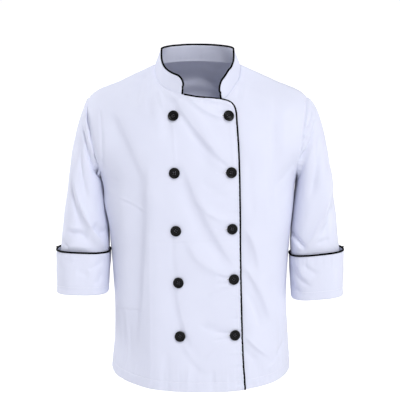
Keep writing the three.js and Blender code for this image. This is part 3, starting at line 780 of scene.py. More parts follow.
# The large folds that the solids have too.
FRONT_FOLDS = (
    Fold(-66, -50, 22, -200, -8, 15, -3),
    Fold(-46, -58, 44, -190, -10, 14, 2),
    Fold(-84, -34, -62, -150, -5, 12, -2.5),
    Fold(-20, -66, 62, -88, -5, 8, -1.6),
    Fold(-188, -86, -118, -240, -3, 20, -4.5),
    Fold(-150, -110, -84, -300, 8, 26, 2.5),
    Fold(-120, -210, -142, -620, -4, 18, -4.5),
    Fold(-96, -250, -98, -690, 0, 22, 2.5),
    Fold(-162, -230, -160, -540, 0, 18, 3),
    Fold(-54, -450, 8, -640, 14, 18, -4),
    Fold(-42, -210, 60, -412, 9, 18, -4),
    Fold(96, -330, 142, -560, 8, 18, -3.5),
    Fold(100, -545, 140, -670, 5, 14, -3),
    Fold(150, -200, 158, -690, -8, 24, 3),
    Fold(128, -90, 190, -300, -8, 24, -3),
)
BACK_FOLDS = (
    Fold(-168, -120, -128, -330, -10, 24, -6),
    Fold(168, -120, 132, -340, 10, 24, -6),
    Fold(-96, -330, -104, -690, 8, 24, -7),
    Fold(-44, -400, -40, -690, -6, 22, 5),
    Fold(38, -360, 30, -690, 6, 24, -6),
    Fold(110, -380, 118, -690, -8, 24, 5),
    Fold(-60, -60, 60, -64, -14, 12, -3),
    Fold(-70, -300, 90, -372, 12, 18, -4),
)
# Finer creases on them, drag lines at the buttons and the marks of pressing and packing.
FRONT_CREASES = (
    # beside the collar, down to the first button of the right column
    Fold(-91, -6, -72, -84, 3, 9, 3.6, 0.5, 1.4),
    Fold(-84, -18, -70, -64, 0, 3, -1.6, 0, 1.5),
    Fold(-115, -14, -129, -80, 2, 9, -2.6),
    Fold(-97, -18, -98, -108, 5, 9, -2.2),
    Fold(-136, -26, -148, -64, 2, 9, 1.2),
    # the long drag line to the second button of the left column
    Fold(-75, -20, 60, -196, 9, 13, 4.4, 0.5, 1.45),
    Fold(-34, -98, 56, -202, 7, 6, -1.6, 0, 1.6),
    Fold(44, -190, 60, -203, 0, 3.5, -1.7, 0.3, 1.4),
    Fold(38, -215, 56, -214, 0, 3, -1.5, 0, 1.4),
    # the two above it, under the flap's top
    Fold(-28, -55, 54, -105, 7, 9, 5.0, 0.55, 1.4),
    Fold(4, -60, 72, -80, 2, 6, 3.8, 0.5, 1.4),
    Fold(22, -80, 60, -92, 1, 3, -1.3, 0, 1.5),
    Fold(34, -72, 64, -80, 0, 2.5, -1.2, 0, 1.4),
    # thin lines down from the first buttons
    Fold(-53, -112, -47, -198, 0, 1.8, 0.8, 0, 1.3),
    Fold(66, -112, 72, -196, 0, 1.8, 0.7, 0, 1.3),
    # the right chest, with the fold of the front beside the armhole
    Fold(-211, -80, -202, -224, -5, 3.2, -2.6, 0, 1.2),
    Fold(-214, -110, -200, -330, 0, 24, 6),
    Fold(-178, -80, -106, -236, -2, 15, 3.4, 0.4, 1.7),
    Fold(-166, -270, -112, -297, -3, 3.2, 1.7, -0.4, 1.3),
    Fold(-160, -279, -118, -300, -3, 4, -1.4),
    Fold(-206, -196, -172, -240, 4, 6, -1.5),
    Fold(-208, -226, -178, -272, 5, 7, 1.2),
    # the curved trough down the right front, its crisp edge and the pressed line beside it
    Fold(-104, -214, -129, -590, -4, 11, 3.6, 0.5, 1.4),
    Fold(-101, -330, -100, -700, 0, 2.6, 0.8, -0.3, 1.3),
    Fold(-54, -340, -46, -450, 4, 9, -1.7, -0.3, 1.5),
    # the long fold from the second button of the right column to the fourth of the left one
    Fold(-29, -202, 74, -408, 8, 13, 4.2, 0.45, 1.5),
    Fold(6, -234, 58, -264, 2, 8, -1.3),
    # to the third button of the left column
    Fold(-4, -268, 60, -322, 7, 9, 3.6, 0.45, 1.5),
    Fold(18, -300, 58, -320, 2, 3.5, -1.6, 0, 1.5),
    Fold(34, -333, 58, -333, 0, 3, -1.7, 0, 1.4),
    # the packing line across, and a faint one lower down
    Fold(-90, -361, 82, -357, 1, 3.0, -1.1, 0.55, 1.3),
    Fold(-90, -357, 82, -353, 1, 3.0, 0.7),
    Fold(-184, -517, -110, -514, 1, 2.4, -0.9, 0.5, 1.3),
    Fold(-184, -512, -110, -509, 1, 3.0, 0.45),
    # to the fourth button of the left column
    Fold(-26, -354, 64, -432, 15, 14, 4.0, 0.4, 1.6),
    Fold(38, -431, 62, -437, 0, 2.6, -2.0, 0, 1.4),
    Fold(34, -449, 60, -446, 0, 2.6, -1.7, 0, 1.4),
    Fold(24, -472, 64, -453, -2, 5, 1.9, 0.3, 1.5),
    # below the fourth button of the right column, and on below the fifth
    Fold(-46, -450, -13, -582, 7, 11, 3.4, 0.45, 1.5),
    Fold(-32, -577, 18, -640, 4, 13, 4.0, 0.4, 1.6),
    # to the fifth button of the left column
    Fold(4, -540, 66, -557, 2, 10, -3.8, 0.2, 1.7),
    Fold(36, -553, 64, -556, 0, 2.6, -1.9, 0, 1.4),
    Fold(34, -571, 64, -566, 0, 2.6, -1.7, 0, 1.4),
    Fold(18, -606, 66, -574, -3, 7, 2.0, -0.4, 1.5),
    # the left front, beside the cord
    Fold(101, -334, 129, -426, -5, 11, 4.2, 0.45, 1.5),
    Fold(98, -414, 152, -534, -6, 12, 5.6, 0.5, 1.4),
    Fold(103, -470, 132, -546, -3, 5, -1.8),
    Fold(99, -565, 148, -616, 2, 7, 3.8, 0.6, 1.3),
    Fold(98, -590, 124, -622, 2, 5, -1.6),
    Fold(150, -636, 188, -592, 3, 5, -2.4, 0, 1.4),
    Fold(140, -652, 170, -622, 2, 5, 1.3),
    Fold(96, -640, 104, -694, 1, 6, 1.4),
    # the left shoulder and chest
    Fold(86, -22, 80, -64, -2, 4, -1.6, 0, 1.5),
    Fold(98, -18, 92, -74, -2, 6, 1.1),
    Fold(160, -60, 164, -330, 3, 13, -3.6, 0.2, 1.7),
    Fold(186, -80, 178, -180, 6, 10, 1.4),
    Fold(204, -190, 168, -246, -5, 7, -1.9),
    Fold(108, -186, 112, -310, 2, 9, -1.7),
    Fold(147, -440, 168, -520, -2, 8, -1.6),
    # beside the side seams and at the hem
    Fold(-164, -520, -158, -650, 1, 4.5, -1.9),
    Fold(-150, -540, -146, -650, 1, 4, -1.4),
    Fold(172, -500, 176, -640, 0, 4.5, -1.8),
    Fold(184, -540, 185, -650, 0, 4, -1.4),
    Fold(-66, -604, -70, -694, 2, 8, -1.7),
    Fold(-20, -626, -24, -694, 2, 6, 1.4),
    Fold(30, -636, 34, -694, 1, 6, -1.6),
    Fold(58, -648, 60, -694, 1, 5, 1.4),
    Fold(-182, -610, -176, -690, 2, 7, 1.7),
)
BACK_CREASES = (
    Fold(-196, -130, -120, -260, -8, 10, 3, -0.5, 1.4),
    Fold(196, -130, 116, -266, 8, 10, 3, 0.5, 1.4),
    Fold(-110, -46, -58, -84, -4, 8, -1.6),
    Fold(108, -44, 60, -82, 4, 8, -1.6),
    Fold(-206, -206, -150, -262, 4, 7, -2.6, 0, 1.5),
    Fold(206, -208, 152, -270, -4, 7, -2.4, 0, 1.5),
    Fold(-60, -300, 20, -352, 6, 9, 3, 0.5, 1.4),
    Fold(96, -340, 30, -392, -6, 9, 2.7, -0.5, 1.4),
    Fold(-150, -352, -70, -394, 5, 8, 2.6, 0.5, 1.4),
    Fold(-172, -400, -110, -420, 3, 6, 1.4),
    Fold(150, -372, 92, -424, -5, 8, 2.6, -0.5, 1.4),
    Fold(-96, -360, 92, -361, 3, 3.0, -1.3, 0.5, 1.3),
    Fold(-96, -355, 92, -356, 3, 3.0, 0.6),
    Fold(-150, -515, 140, -513, 3, 2.4, -1, 0.5, 1.3),
    Fold(104, -240, 107, -700, -2, 10, 3.5, 0.6, 1.3),
    Fold(-104, -240, -107, -700, 2, 10, 3.5, -0.6, 1.3),
    Fold(-52, -470, -58, -692, 3, 8, -2.2, 0.2),
    Fold(10, -520, 4, -692, 2, 9, 1.9),
    Fold(70, -480, 78, -692, -3, 8, -2.4, 0.2),
    Fold(-150, -560, -142, -680, 3, 8, -2.2),
    Fold(148, -570, 140, -684, -3, 8, -2.1),
    Fold(-20, -120, 8, -300, 8, 18, -2.6),
)


class BodyForm:
    """The body cloth as one surface.

    A point has an angle round the body, 0 at the middle of the front and 90 at the wearer's left,
    and a level, from 0 at the neckline through 1 at the shoulder tips and 2 at the armpits to 4.5.
    """

    RIDGE = 0.2  # how softly the front's slope turns into the back's over the shoulder
    TIP, ARMPIT = 1.0, 2.0
    FRONT_OPENING, BACK_OPENING = 29.0, 27.0
    SKEW = 0.42
    HEM = 4.5

    def __init__(self) -> None:
        """Make a curve of each column of the rings."""
        levels = [ring.level for ring in RINGS]
        names = [item.name for item in fields(Ring) if item.name != "level"]
        self.curves = {name: Table(levels, [getattr(ring, name) for ring in RINGS]) for name in names}

    def rounded(self, value: np.ndarray) -> np.ndarray:
        """Straighten a cosine, with a soft start."""
        soft = (np.hypot(value, self.RIDGE) - self.RIDGE) / (math.hypot(1, self.RIDGE) - self.RIDGE)
        return np.where(value < 0, 0, soft)

    def point(self, degrees: np.ndarray, level: np.ndarray) -> np.ndarray:
        """Give points of the form, without folds.

        Args:
            degrees: Angles round the body.
            level: Levels down it.

        Returns:
            The points.
        """
        degrees, level = np.broadcast_arrays(degrees, level)
        at = {name: curve(level) for name, curve in self.curves.items()}
        s, c = np.sin(np.radians(degrees)), np.cos(np.radians(degrees))
        power = 2 / at["square"]
        to_front = self.rounded(c) ** at["drop"]
        z = at["side"] + (at["fore"] - at["side"]) * to_front
        z = z + (at["rear"] - at["side"]) * self.rounded(-c)
        x = at["middle"] + at["half"] * np.sign(s) * np.abs(s) ** power
        y = np.where(c > 0, -at["front"], at["back"]) * np.abs(c) ** power
        return np.stack([x, y, z], axis=-1)

    def normal(self, degrees: np.ndarray, level: np.ndarray) -> np.ndarray:
        """Give the outward directions of the form.

        Args:
            degrees: Angles round the body.
            level: Levels down it.

        Returns:
            The directions.
        """
        across = self.point(degrees + 0.5, level) - self.point(degrees - 0.5, level)
        down = self.point(degrees, level + 0.01) - self.point(degrees, level - 0.01)
        normals = unit(np.cross(across, down))
        turn = np.radians(degrees + 0 * level)
        away = np.stack([np.sin(turn), -np.cos(turn), np.full(turn.shape, 0.35)], axis=-1)
        return normals * np.where(np.sum(normals * away, axis=-1, keepdims=True) < 0, -1, 1)

    def cloth(
        self, degrees: np.ndarray, level: np.ndarray, lift: Optional[Reading] = None
    ) -> tuple[np.ndarray, np.ndarray]:
        """Give points of the cloth with its folds and creases.

        Args:
            degrees: Angles round the body.
            level: Levels down it.
            lift: How far the cloth lies out at each x, as over another layer.

        Returns:
            The points and the outward directions.
        """
        degrees = np.where(degrees > 180, degrees - 360, degrees)
        place, normal = self.point(degrees, level), self.normal(degrees, level)
        x, z = place[..., 0], place[..., 2]
        ahead = np.abs(degrees) < 90
        from_seam = np.abs(np.abs(degrees) - 90)
        folds = np.where(ahead, rises(FRONT_FOLDS, x, z), rises(BACK_FOLDS, x, z))
        fine = np.where(ahead, rises(FRONT_CREASES, x, z), rises(BACK_CREASES, x, z))
        waves = unevenness(x, z, 11, 95, 0.5) + unevenness(x, z, 12, 34, 0.1)
        high = folds * smooth(from_seam, 2, 22) * smooth(level, 0, 0.35)
        high = high + (fine + waves) * smooth(from_seam, 1, 12) * smooth(level, 0, 0.2)
        if lift is not None:
            high = high + lift(x) * smooth(from_seam, 2, 30)
        return place + normal * high[..., None], normal

    def opening(self, level: np.ndarray, width: float, side: Side = Side.LEFT) -> np.ndarray:
        """Give the angle of a panel's outer edge: the side seam, armhole or shoulder seam.

        Args:
            level: Levels down the body.
            width: How wide the armhole opens, in degrees, less than 0 for the back.
            side: The wearer's side; the armhole's front starts further out on the right.

        Returns:
            The angles.
        """
        inside = np.clip((level - self.TIP) * (self.ARMPIT - level), 0, None)
        skew = self.SKEW if width > 0 and side is Side.RIGHT else 0.0
        narrowed = 1 - skew * np.clip(self.ARMPIT - level, 0, 1)
        return 90 - width * 2 * np.sqrt(inside) * narrowed

    def armhole(self, turn: np.ndarray, side: Side) -> tuple[np.ndarray, np.ndarray]:
        """Give the armhole's angle and level at turns round it: 0 at the tip, 90 at the front.

        Args:
            turn: The turns.
            side: The wearer's side.

        Returns:
            The angle and the level of each.
        """
        level = lerp(self.TIP, self.ARMPIT, (1 - np.cos(np.radians(turn))) / 2)
        ahead = self.opening(level, self.FRONT_OPENING, side)
        behind = self.opening(level, -self.BACK_OPENING)
        return np.where(np.sin(np.radians(turn)) > 0, ahead, behind), level

    def degrees_at(self, level: np.ndarray, x_at: Reading) -> np.ndarray:
        """Find the angle at which the front of one level reaches an x that depends on z.

        Args:
            level: Levels down the body.
            x_at: The x at each z.

        Returns:
            The angles.
        """

        def short(middle: np.ndarray) -> np.ndarray:
            """Tell where an angle is still short of the x."""
            place = self.point(middle, level)
            return place[..., 0] < x_at(place[..., 2])

        return bisected(np.full(np.shape(level), -80.0), np.full(np.shape(level), 80.0), short)

    def place_at(self, x: np.ndarray, z: np.ndarray) -> tuple[np.ndarray, np.ndarray]:
        """Find the angle and level at which the front has an x and a z.

        Args:
            x: Places across.
            z: Places up.

        Returns:
            The angles and the levels.
        """

        def short(middle: np.ndarray) -> np.ndarray:
            """Tell where a level is still above the z."""
            return self.point(self.degrees_at(middle, lambda _: x), middle)[..., 2] > z

        level = bisected(np.zeros(np.shape(x)), np.full(np.shape(x), 2.0), short)
        return self.degrees_at(level, lambda _: x), level

    def level_at(self, degrees: np.ndarray, z_at: Reading) -> np.ndarray:
        """Find the level at which one angle comes down to a z that depends on x.

        Args:
            degrees: Angles round the body.
            z_at: The z at each x.

        Returns:
            The levels.
        """

        def short(middle: np.ndarray) -> np.ndarray:
            """Tell where a level is still above the z."""
            place = self.point(degrees, middle)
            return place[..., 2] > z_at(place[..., 0])

        return bisected(np.zeros(np.shape(degrees)), np.full(np.shape(degrees), 2.0), short)


# The panels


@dataclass
class Body:
    """The back, the outer front and the inner front."""

    form: BodyForm
    finishes: Finishes
    wall: float = 2.2  # where the cloth is doubled; one layer is half of it
    layer: float = 4.2
    top_level: float = 0.8
    hem_turn: float = 4.39
    hem_top: float = 4.36
    hem_rows: int = 14
    hem_depth: float = 20.0
    edge_stitch: float = 5.5
    facing: float = 60.0
    allowance: tuple[float, ...] = (1.5, 4.5)
    side_columns: int = 9
    top_columns: int = 60
    overlap_x: tuple[float, ...] = (-72, -53, -34, -14, 8, 30, 50, 62, 69.5, 73.5)
    edge_z: tuple[float, ...] = (-82, -89, -104, -183, -380, -484, -600, -686)
    edge_x: tuple[float, ...] = (73.5, 75.5, 77, 82, 86, 88, 92, 97)
    outer_top_x: tuple[float, ...] = (-34, -6, 30, 50, 62, 69.5, 73.5)
    outer_top_z: tuple[float, ...] = (-56, -60.5, -65, -68, -72, -76.5, -82)
    inner_top_x: tuple[float, ...] = (-72, -50, -10, 34, 50, 59, 70, 79, 86)
    inner_top_z: tuple[float, ...] = (-92, -84, -76, -72, -65, -58, -46, -31, -14)
    columns: dict[Side, np.ndarray] = field(default_factory=dict)
    back: Sheet = field(init=False)
    outer: Sheet = field(init=False)
    inner: Sheet = field(init=False)

    def levels(self, rows: tuple[int, int, int]) -> np.ndarray:
        """Give the levels of the rows, from the hem up, closer in the turned hem.

        Args:
            rows: How many there are up the body, along the armhole and over the shoulder.

        Returns:
            The levels.
        """
        hem = np.linspace(BodyForm.HEM, self.hem_top, self.hem_rows)[:-1]
        body = np.linspace(self.hem_top, BodyForm.ARMPIT, rows[0])[:-1]
        armhole = self.form.armhole(np.linspace(180, 0, rows[1]), Side.LEFT)[1][:-1]
        return np.concatenate([hem, body, armhole, np.linspace(1, 0, rows[2])])

    def lift(self, x: np.ndarray) -> np.ndarray:
        """How far the outer front lies out where it laps over the inner one."""
        return self.layer * smooth(x, -150, -78)

    def relief(self, bare: np.ndarray, seam: int, seed: int, free: Optional[int] = None) -> np.ndarray:
        """The sewn edges' shape on a panel.

        Args:
            bare: The panel's grid, from the hem up.
            seam: The column of its seam with the next panel and the sleeve.
            seed: The number that its puckers are drawn from.
            free: The column of its free edge, or none.

        Returns:
            The height at each point.
        """
        along, off = Edge(bare[:, seam]).measure(bare)
        high = seam_dip(off, SEAM_ROLL) + puckers(along, off, 5, 0.35, seed) + stitch_dip(off, 6.5, 0.25)
        along, off = Edge(bare[0]).measure(bare)
        drawn = puckers(along, np.abs(off - self.hem_depth), 8, 0.5, seed + 1)
        high += stitch_dip(off, self.hem_depth, 0.55) + drawn
        along, off = Edge(bare[-1]).measure(bare)
        high += seam_dip(off) * (0.3 if free is not None else 1) + puckers(along, off, 4, 0.2, seed + 2)
        if free is not None:
            line = np.concatenate([bare[:, free], bare[-1, free::-1][1:self.top_columns]])
            along, off = Edge(line).measure(bare)
            lower = 0.6 + 0.6 * smooth(-bare[..., 2], 180, 600)
            drawn = puckers(along, np.abs(off - self.edge_stitch), 4.5, 0.6, seed + 3)
            high += stitch_dip(off, self.edge_stitch, 0.6) + drawn * lower
        return high

    def sewn(
        self, name: str, bare: np.ndarray, normal: np.ndarray, high: np.ndarray, seams: Sequence[int],
        doubled: np.ndarray, slot_node: str,
    ) -> Sheet:
        """Make a panel, with its seam allowances turned in.

        Args:
            name: The piece's name.
            bare: Its grid without the sewn edges' shape.
            normal: Its outward directions.
            high: The sewn edges' heights.
            seams: The columns at which an allowance turns in, 0 or -1.
            doubled: Where the cloth is doubled.
            slot_node: The solid that it replaces.

        Returns:
            The panel, with the grid of its visible part.
        """
        points = bare + normal * high[..., None]
        grid, away, two = points, normal, doubled
        for seam in seams:
            rim, out = points[:, seam], normal[:, seam]
            turned = [(rim - out * depth)[:, None] for depth in self.allowance]
            outs = [out[:, None]] * len(turned)
            twos = [doubled[:, seam, None]] * len(turned)
            if seam == 0:
                grid = np.concatenate([*turned[::-1], grid], axis=1)
                away = np.concatenate([*outs, away], axis=1)
                two = np.concatenate([*twos, two], axis=1)
            else:
                grid = np.concatenate([grid, *turned], axis=1)
                away = np.concatenate([away, *outs], axis=1)
                two = np.concatenate([two, *twos], axis=1)
        made = grid_piece(name, grid, away, self.finishes.twill)
        thicken(made.piece, self.wall, two)
        finish_piece(made.piece, SLOT_TWILL, slot_node)
        return Sheet(points, grid_normals(points, False, normal), made.piece, made.tree)

    def front_place(
        self, side: Side, levels: np.ndarray, columns: np.ndarray, top: Reading
    ) -> tuple[np.ndarray, np.ndarray]:
        """Lay a front's grid on the form.

        Args:
            side: The wearer's side that its seam is on.
            levels: The rows' levels.
            columns: The columns, up to side_columns outside the overlap and on from there in it.
            top: The height of its top edge at each x.

        Returns:
            Each point's angle and level.
        """
        sign = side.value
        shared = len(self.overlap_x) - 1
        inward = np.maximum(columns - self.side_columns, 0)
        k = shared - inward if sign > 0 else inward
        out = np.maximum(self.side_columns - columns, 0) / self.side_columns
        x = np.interp(k, np.arange(shared + 1), self.overlap_x)
        own = np.maximum(levels, self.top_level)
        edge = Table(self.edge_z, self.edge_x)
        low = self.form.degrees_at(own, lambda _: self.overlap_x[0])[:, None]
        high = self.form.degrees_at(own, edge)[:, None]
        part = ((x - self.overlap_x[0]) / (self.overlap_x[-1] - self.overlap_x[0]))[None]
        seam = sign * self.form.opening(own, BodyForm.FRONT_OPENING, side)[:, None]
        top_degrees, top_level = self.form.place_at(x, top(x))
        top_degrees = lerp(top_degrees, sign * 90.0, out)
        top_level = np.where(out > 0, self.form.level_at(top_degrees, top), top_level)
        up = np.maximum(0, (self.top_level - levels) / self.top_level)[:, None]
        degrees = lerp(lerp(lerp(low, high, part), seam, out[None]), top_degrees[None], up)
        return degrees, lerp(own[:, None], top_level[None], up)

    def outer_top(self, x: np.ndarray) -> np.ndarray:
        """The height of the outer front's top edge; beyond it the neckline is the edge."""
        return np.where(x < self.outer_top_x[0], 100.0, Table(self.outer_top_x, self.outer_top_z)(x))

    def inner_top(self, x: np.ndarray) -> np.ndarray:
        """The height of the inner front's top edge; beyond it the neckline is the edge."""
        return np.where(x > self.inner_top_x[-1], 100.0, Table(self.inner_top_x, self.inner_top_z)(x))

    def make_back(self, levels: np.ndarray) -> Sheet:
        """Make the back, from the left side seam to the right one.

        Args:
            levels: The rows' levels.

        Returns:
            The back.
        """
        even = np.linspace(0, 1, 161)
        share = (even - 0.6 * np.sin(2 * np.pi * even) / (2 * np.pi))[None]
        seam = self.form.opening(levels, -BodyForm.BACK_OPENING)[:, None]
        degrees = lerp(seam, 360 - seam, share)
        bare, normal = self.form.cloth(degrees, np.broadcast_to(levels[:, None], degrees.shape))
        high = self.relief(bare, 0, 20)
        along, off = Edge(bare[:, -1]).measure(bare)
        high += seam_dip(off, SEAM_ROLL) + puckers(along, off, 5, 0.35, 25) + stitch_dip(off, 6.5, 0.25)
        doubled = np.broadcast_to(levels[:, None] >= self.hem_turn, degrees.shape)
        return self.sewn("back_cloth", bare, normal, high, (0, -1), doubled, "back")

    def make_front(self, side: Side, levels: np.ndarray) -> Sheet:
        """Make the outer front on the wearer's right, or the inner one on the left.

        Args:
            side: The wearer's side.
            levels: The rows' levels.

        Returns:
            The front.
        """
        outer = side is Side.RIGHT
        beyond = self.side_columns + len(self.overlap_x) - 1
        shared = np.linspace(self.side_columns, beyond, 70 if outer else 54)
        columns = np.concatenate([self.side_columns * np.linspace(0, 1, 79)[:-1] ** 1.25, shared])
        degrees, level = self.front_place(side, levels, columns, self.outer_top if outer else self.inner_top)
        bare, normal = self.form.cloth(degrees, level, self.lift if outer else None)
        self.columns[side] = columns
        high = self.relief(bare, 0, 30 if outer else 40, bare.shape[1] - 1 if outer else None)
        doubled = np.broadcast_to(levels[:, None] >= self.hem_turn, degrees.shape).copy()
        if outer:
            inward = runs_along(bare[:, ::-1])[:, ::-1]
            doubled |= inward < self.facing
        else:
            doubled |= runs_along(bare[:, ::-1])[:, ::-1] < self.hem_depth
        name = f"front_{side.word}"
        return self.sewn(name + "_cloth", bare, normal, high, (), doubled, name)

    def make(self) -> None:
        """Make the three panels."""
        self.back = self.make_back(self.levels((120, 50, 40)))
        levels = self.levels((178, 64, 44))
        self.outer = self.make_front(Side.RIGHT, levels)
        self.inner = self.make_front(Side.LEFT, levels)

    def column(self, side: Side, at: float) -> int:
        """Find the grid column of a front nearest to a column of the overlap."""
        return int(np.argmin(np.abs(self.columns[side] - at)))


# Sleeves and cuffs


@dataclass(frozen=True)
class ArmRing:
    """A ring round the arm, by its outer and inner points seen from the front.

    depth is its half size from front to back, tilt how much higher its front is and square how far
    it is from an ellipse.
    """

    outer_x: float
    outer_z: float
    inner_x: float
    inner_z: float
    depth: float
    middle_y: float
    tilt: float
    square: float


SLEEVE_RINGS = (
    ArmRing(250, -88, 212, -243, 62, 1, 0, 2.1),
    ArmRing(262, -118, 210.5, -252, 64, 2, 0, 2.2),
    ArmRing(277.5, -180, 209, -266, 66, 3, 0, 2.4),
    ArmRing(287, -250, 206, -292, 66, 1, 0, 2.6),
    ArmRing(296, -314, 202.6, -328, 63, -5, 0, 2.7),
    ArmRing(302.5, -374, 199.2, -374, 59, -11, 2, 2.8),
    ArmRing(306.5, -412, 200.2, -412, 56, -15, 4.5, 2.8),
)
SLEEVE_FOLDS = {
    (Side.RIGHT, True): (
        Fold(-252, -120, -208, -242, 6, 9, -4),
        Fold(-258, -156, -252, -332, 18, 9, -4),
        Fold(-262, -310, -204, -400, 10, 11, -4),
        Fold(-226, -336, -200, -362, 2, 12, -4),
        Fold(-282, -354, -240, -362, -2, 9, -3),
    ),
    (Side.RIGHT, False): (
        Fold(-250, -100, -214, -230, 6, 11, -6),
        Fold(-282, -200, -222, -330, 10, 12, -6),
        Fold(-292, -330, -214, -380, -8, 11, -6),
    ),
    (Side.LEFT, True): (
        Fold(251, -108, 213, -202, -5, 8, -4),
        Fold(259, -136, 240, -276, -4, 12, -4),
        Fold(288, -296, 262, -360, -6, 9, -4),
        Fold(206, -366, 232, -394, 0, 8, -3),
    ),
    (Side.LEFT, False): (
        Fold(252, -104, 218, -240, -6, 11, -6),
        Fold(288, -220, 226, -340, -10, 12, -6),
        Fold(298, -340, 220, -386, 8, 11, -5),
    ),
}
SLEEVE_CREASES = {
    (Side.RIGHT, True): (
        Fold(-251, -120, -206, -242, 6, 3.4, -4.8, 0, 1.2),
        Fold(-243, -116, -204, -224, 5, 6, 3.6, 0, 1.6),
        Fold(-268, -176, -206, -378, 20, 6.5, 7.8, 0, 1.25),
        Fold(-254, -158, -238, -278, 4, 5, -4.5, 0, 1.4),
        Fold(-262, -150, -256, -330, 18, 5, -3.3, 0, 1.4),
        Fold(-226, -340, -204, -358, 1, 7, -3.3, 0, 1.5),
        Fold(-284, -353, -240, -364, -3, 5, -3.9, 0.3, 1.4),
        Fold(-280, -344, -250, -342, 0, 6, 2.1),
        Fold(-298, -371, -281, -386, 1, 4, -3.3, 0, 1.4),
        Fold(-284, -384, -236, -388, -3, 7, 2.4),
    ),
    (Side.RIGHT, False): (
        Fold(-262, -130, -216, -216, 6, 5, -3.6, 0.3, 1.3),
        Fold(-276, -210, -222, -352, 12, 7, 6, 0, 1.3),
        Fold(-296, -300, -220, -352, -6, 6, -3.3, 0.3, 1.4),
        Fold(-290, -368, -226, -392, -4, 6, 2.1),
    ),
    (Side.LEFT, True): (
        Fold(241, -88, 221, -140, -5, 3.2, -3.3, 0, 1.2),
        Fold(248, -92, 230, -150, -5, 5, 2.4, 0, 1.6),
        Fold(239, -137, 219, -159, -1, 2.8, -3.6, 0, 1.2),
        Fold(251, -108, 213, -202, -5, 3.6, -4.5, 0, 1.2),
        Fold(240, -142, 216, -186, -3, 5, 2.4, 0, 1.6),
        Fold(259, -136, 240, -276, -4, 6, -3, 0, 1.6),
        Fold(285, -222, 230, -388, -15, 6.5, 7.2, 0, 1.25),
        Fold(268, -314, 230, -386, -6, 2.6, -2.5, 0, 1.2),
        Fold(287, -298, 270, -354, -3, 5, -3.6, 0, 1.4),
        Fold(199, -352, 226, -385, 1, 4, -5.1, 0, 1.3),
        Fold(200, -366, 222, -392, 1, 5, 3, 0, 1.5),
        Fold(255, -376, 281, -367, 0, 5, -3.3, 0, 1.5),
    ),
    (Side.LEFT, False): (
        Fold(262, -134, 218, -222, -6, 5, -3.6, -0.3, 1.3),
        Fold(284, -224, 232, -352, -12, 7, 5.7, 0, 1.3),
        Fold(300, -308, 222, -360, 6, 6, -3.3, -0.3, 1.4),
        Fold(292, -374, 230, -396, 4, 6, 2.1),
    ),
}
CUFF_FOLDS = {
    (Side.RIGHT, True): (
        Fold(-290, -414, -244, -418, 1, 5, -1.5),
        Fold(-237, -431, -205, -416, 1, 4, -2.8, 0, 1.3),
        Fold(-262, -437, -238, -441, 0, 8, -2.1),
        Fold(-208, -440, -223, -466, -2, 5, -2.5, 0, 1.4),
        Fold(-298, -420, -292, -488, 2, 8, -1.5),
        Fold(-288, -470, -250, -462, 1, 8, 1.2),
    ),
    (Side.RIGHT, False): (
        Fold(-280, -430, -236, -468, 3, 8, -1.8),
        Fold(-226, -420, -214, -480, 2, 8, 1.2),
    ),
    (Side.LEFT, True): (
        Fold(226, -424, 257, -441, 2, 4.5, -3, 0, 1.3),
        Fold(205, -424, 240, -468, 9, 4.5, -3.6, 0, 1.3),
        Fold(199, -462, 221, -486, 2, 4.5, -3, 0, 1.3),
        Fold(214, -424, 244, -456, 6, 6, 1.8),
        Fold(298, -424, 304, -494, -2, 8, -1.5),
    ),
    (Side.LEFT, False): (
        Fold(284, -436, 238, -474, -3, 8, -1.8),
        Fold(228, -424, 216, -488, -2, 8, 1.2),
    ),
}


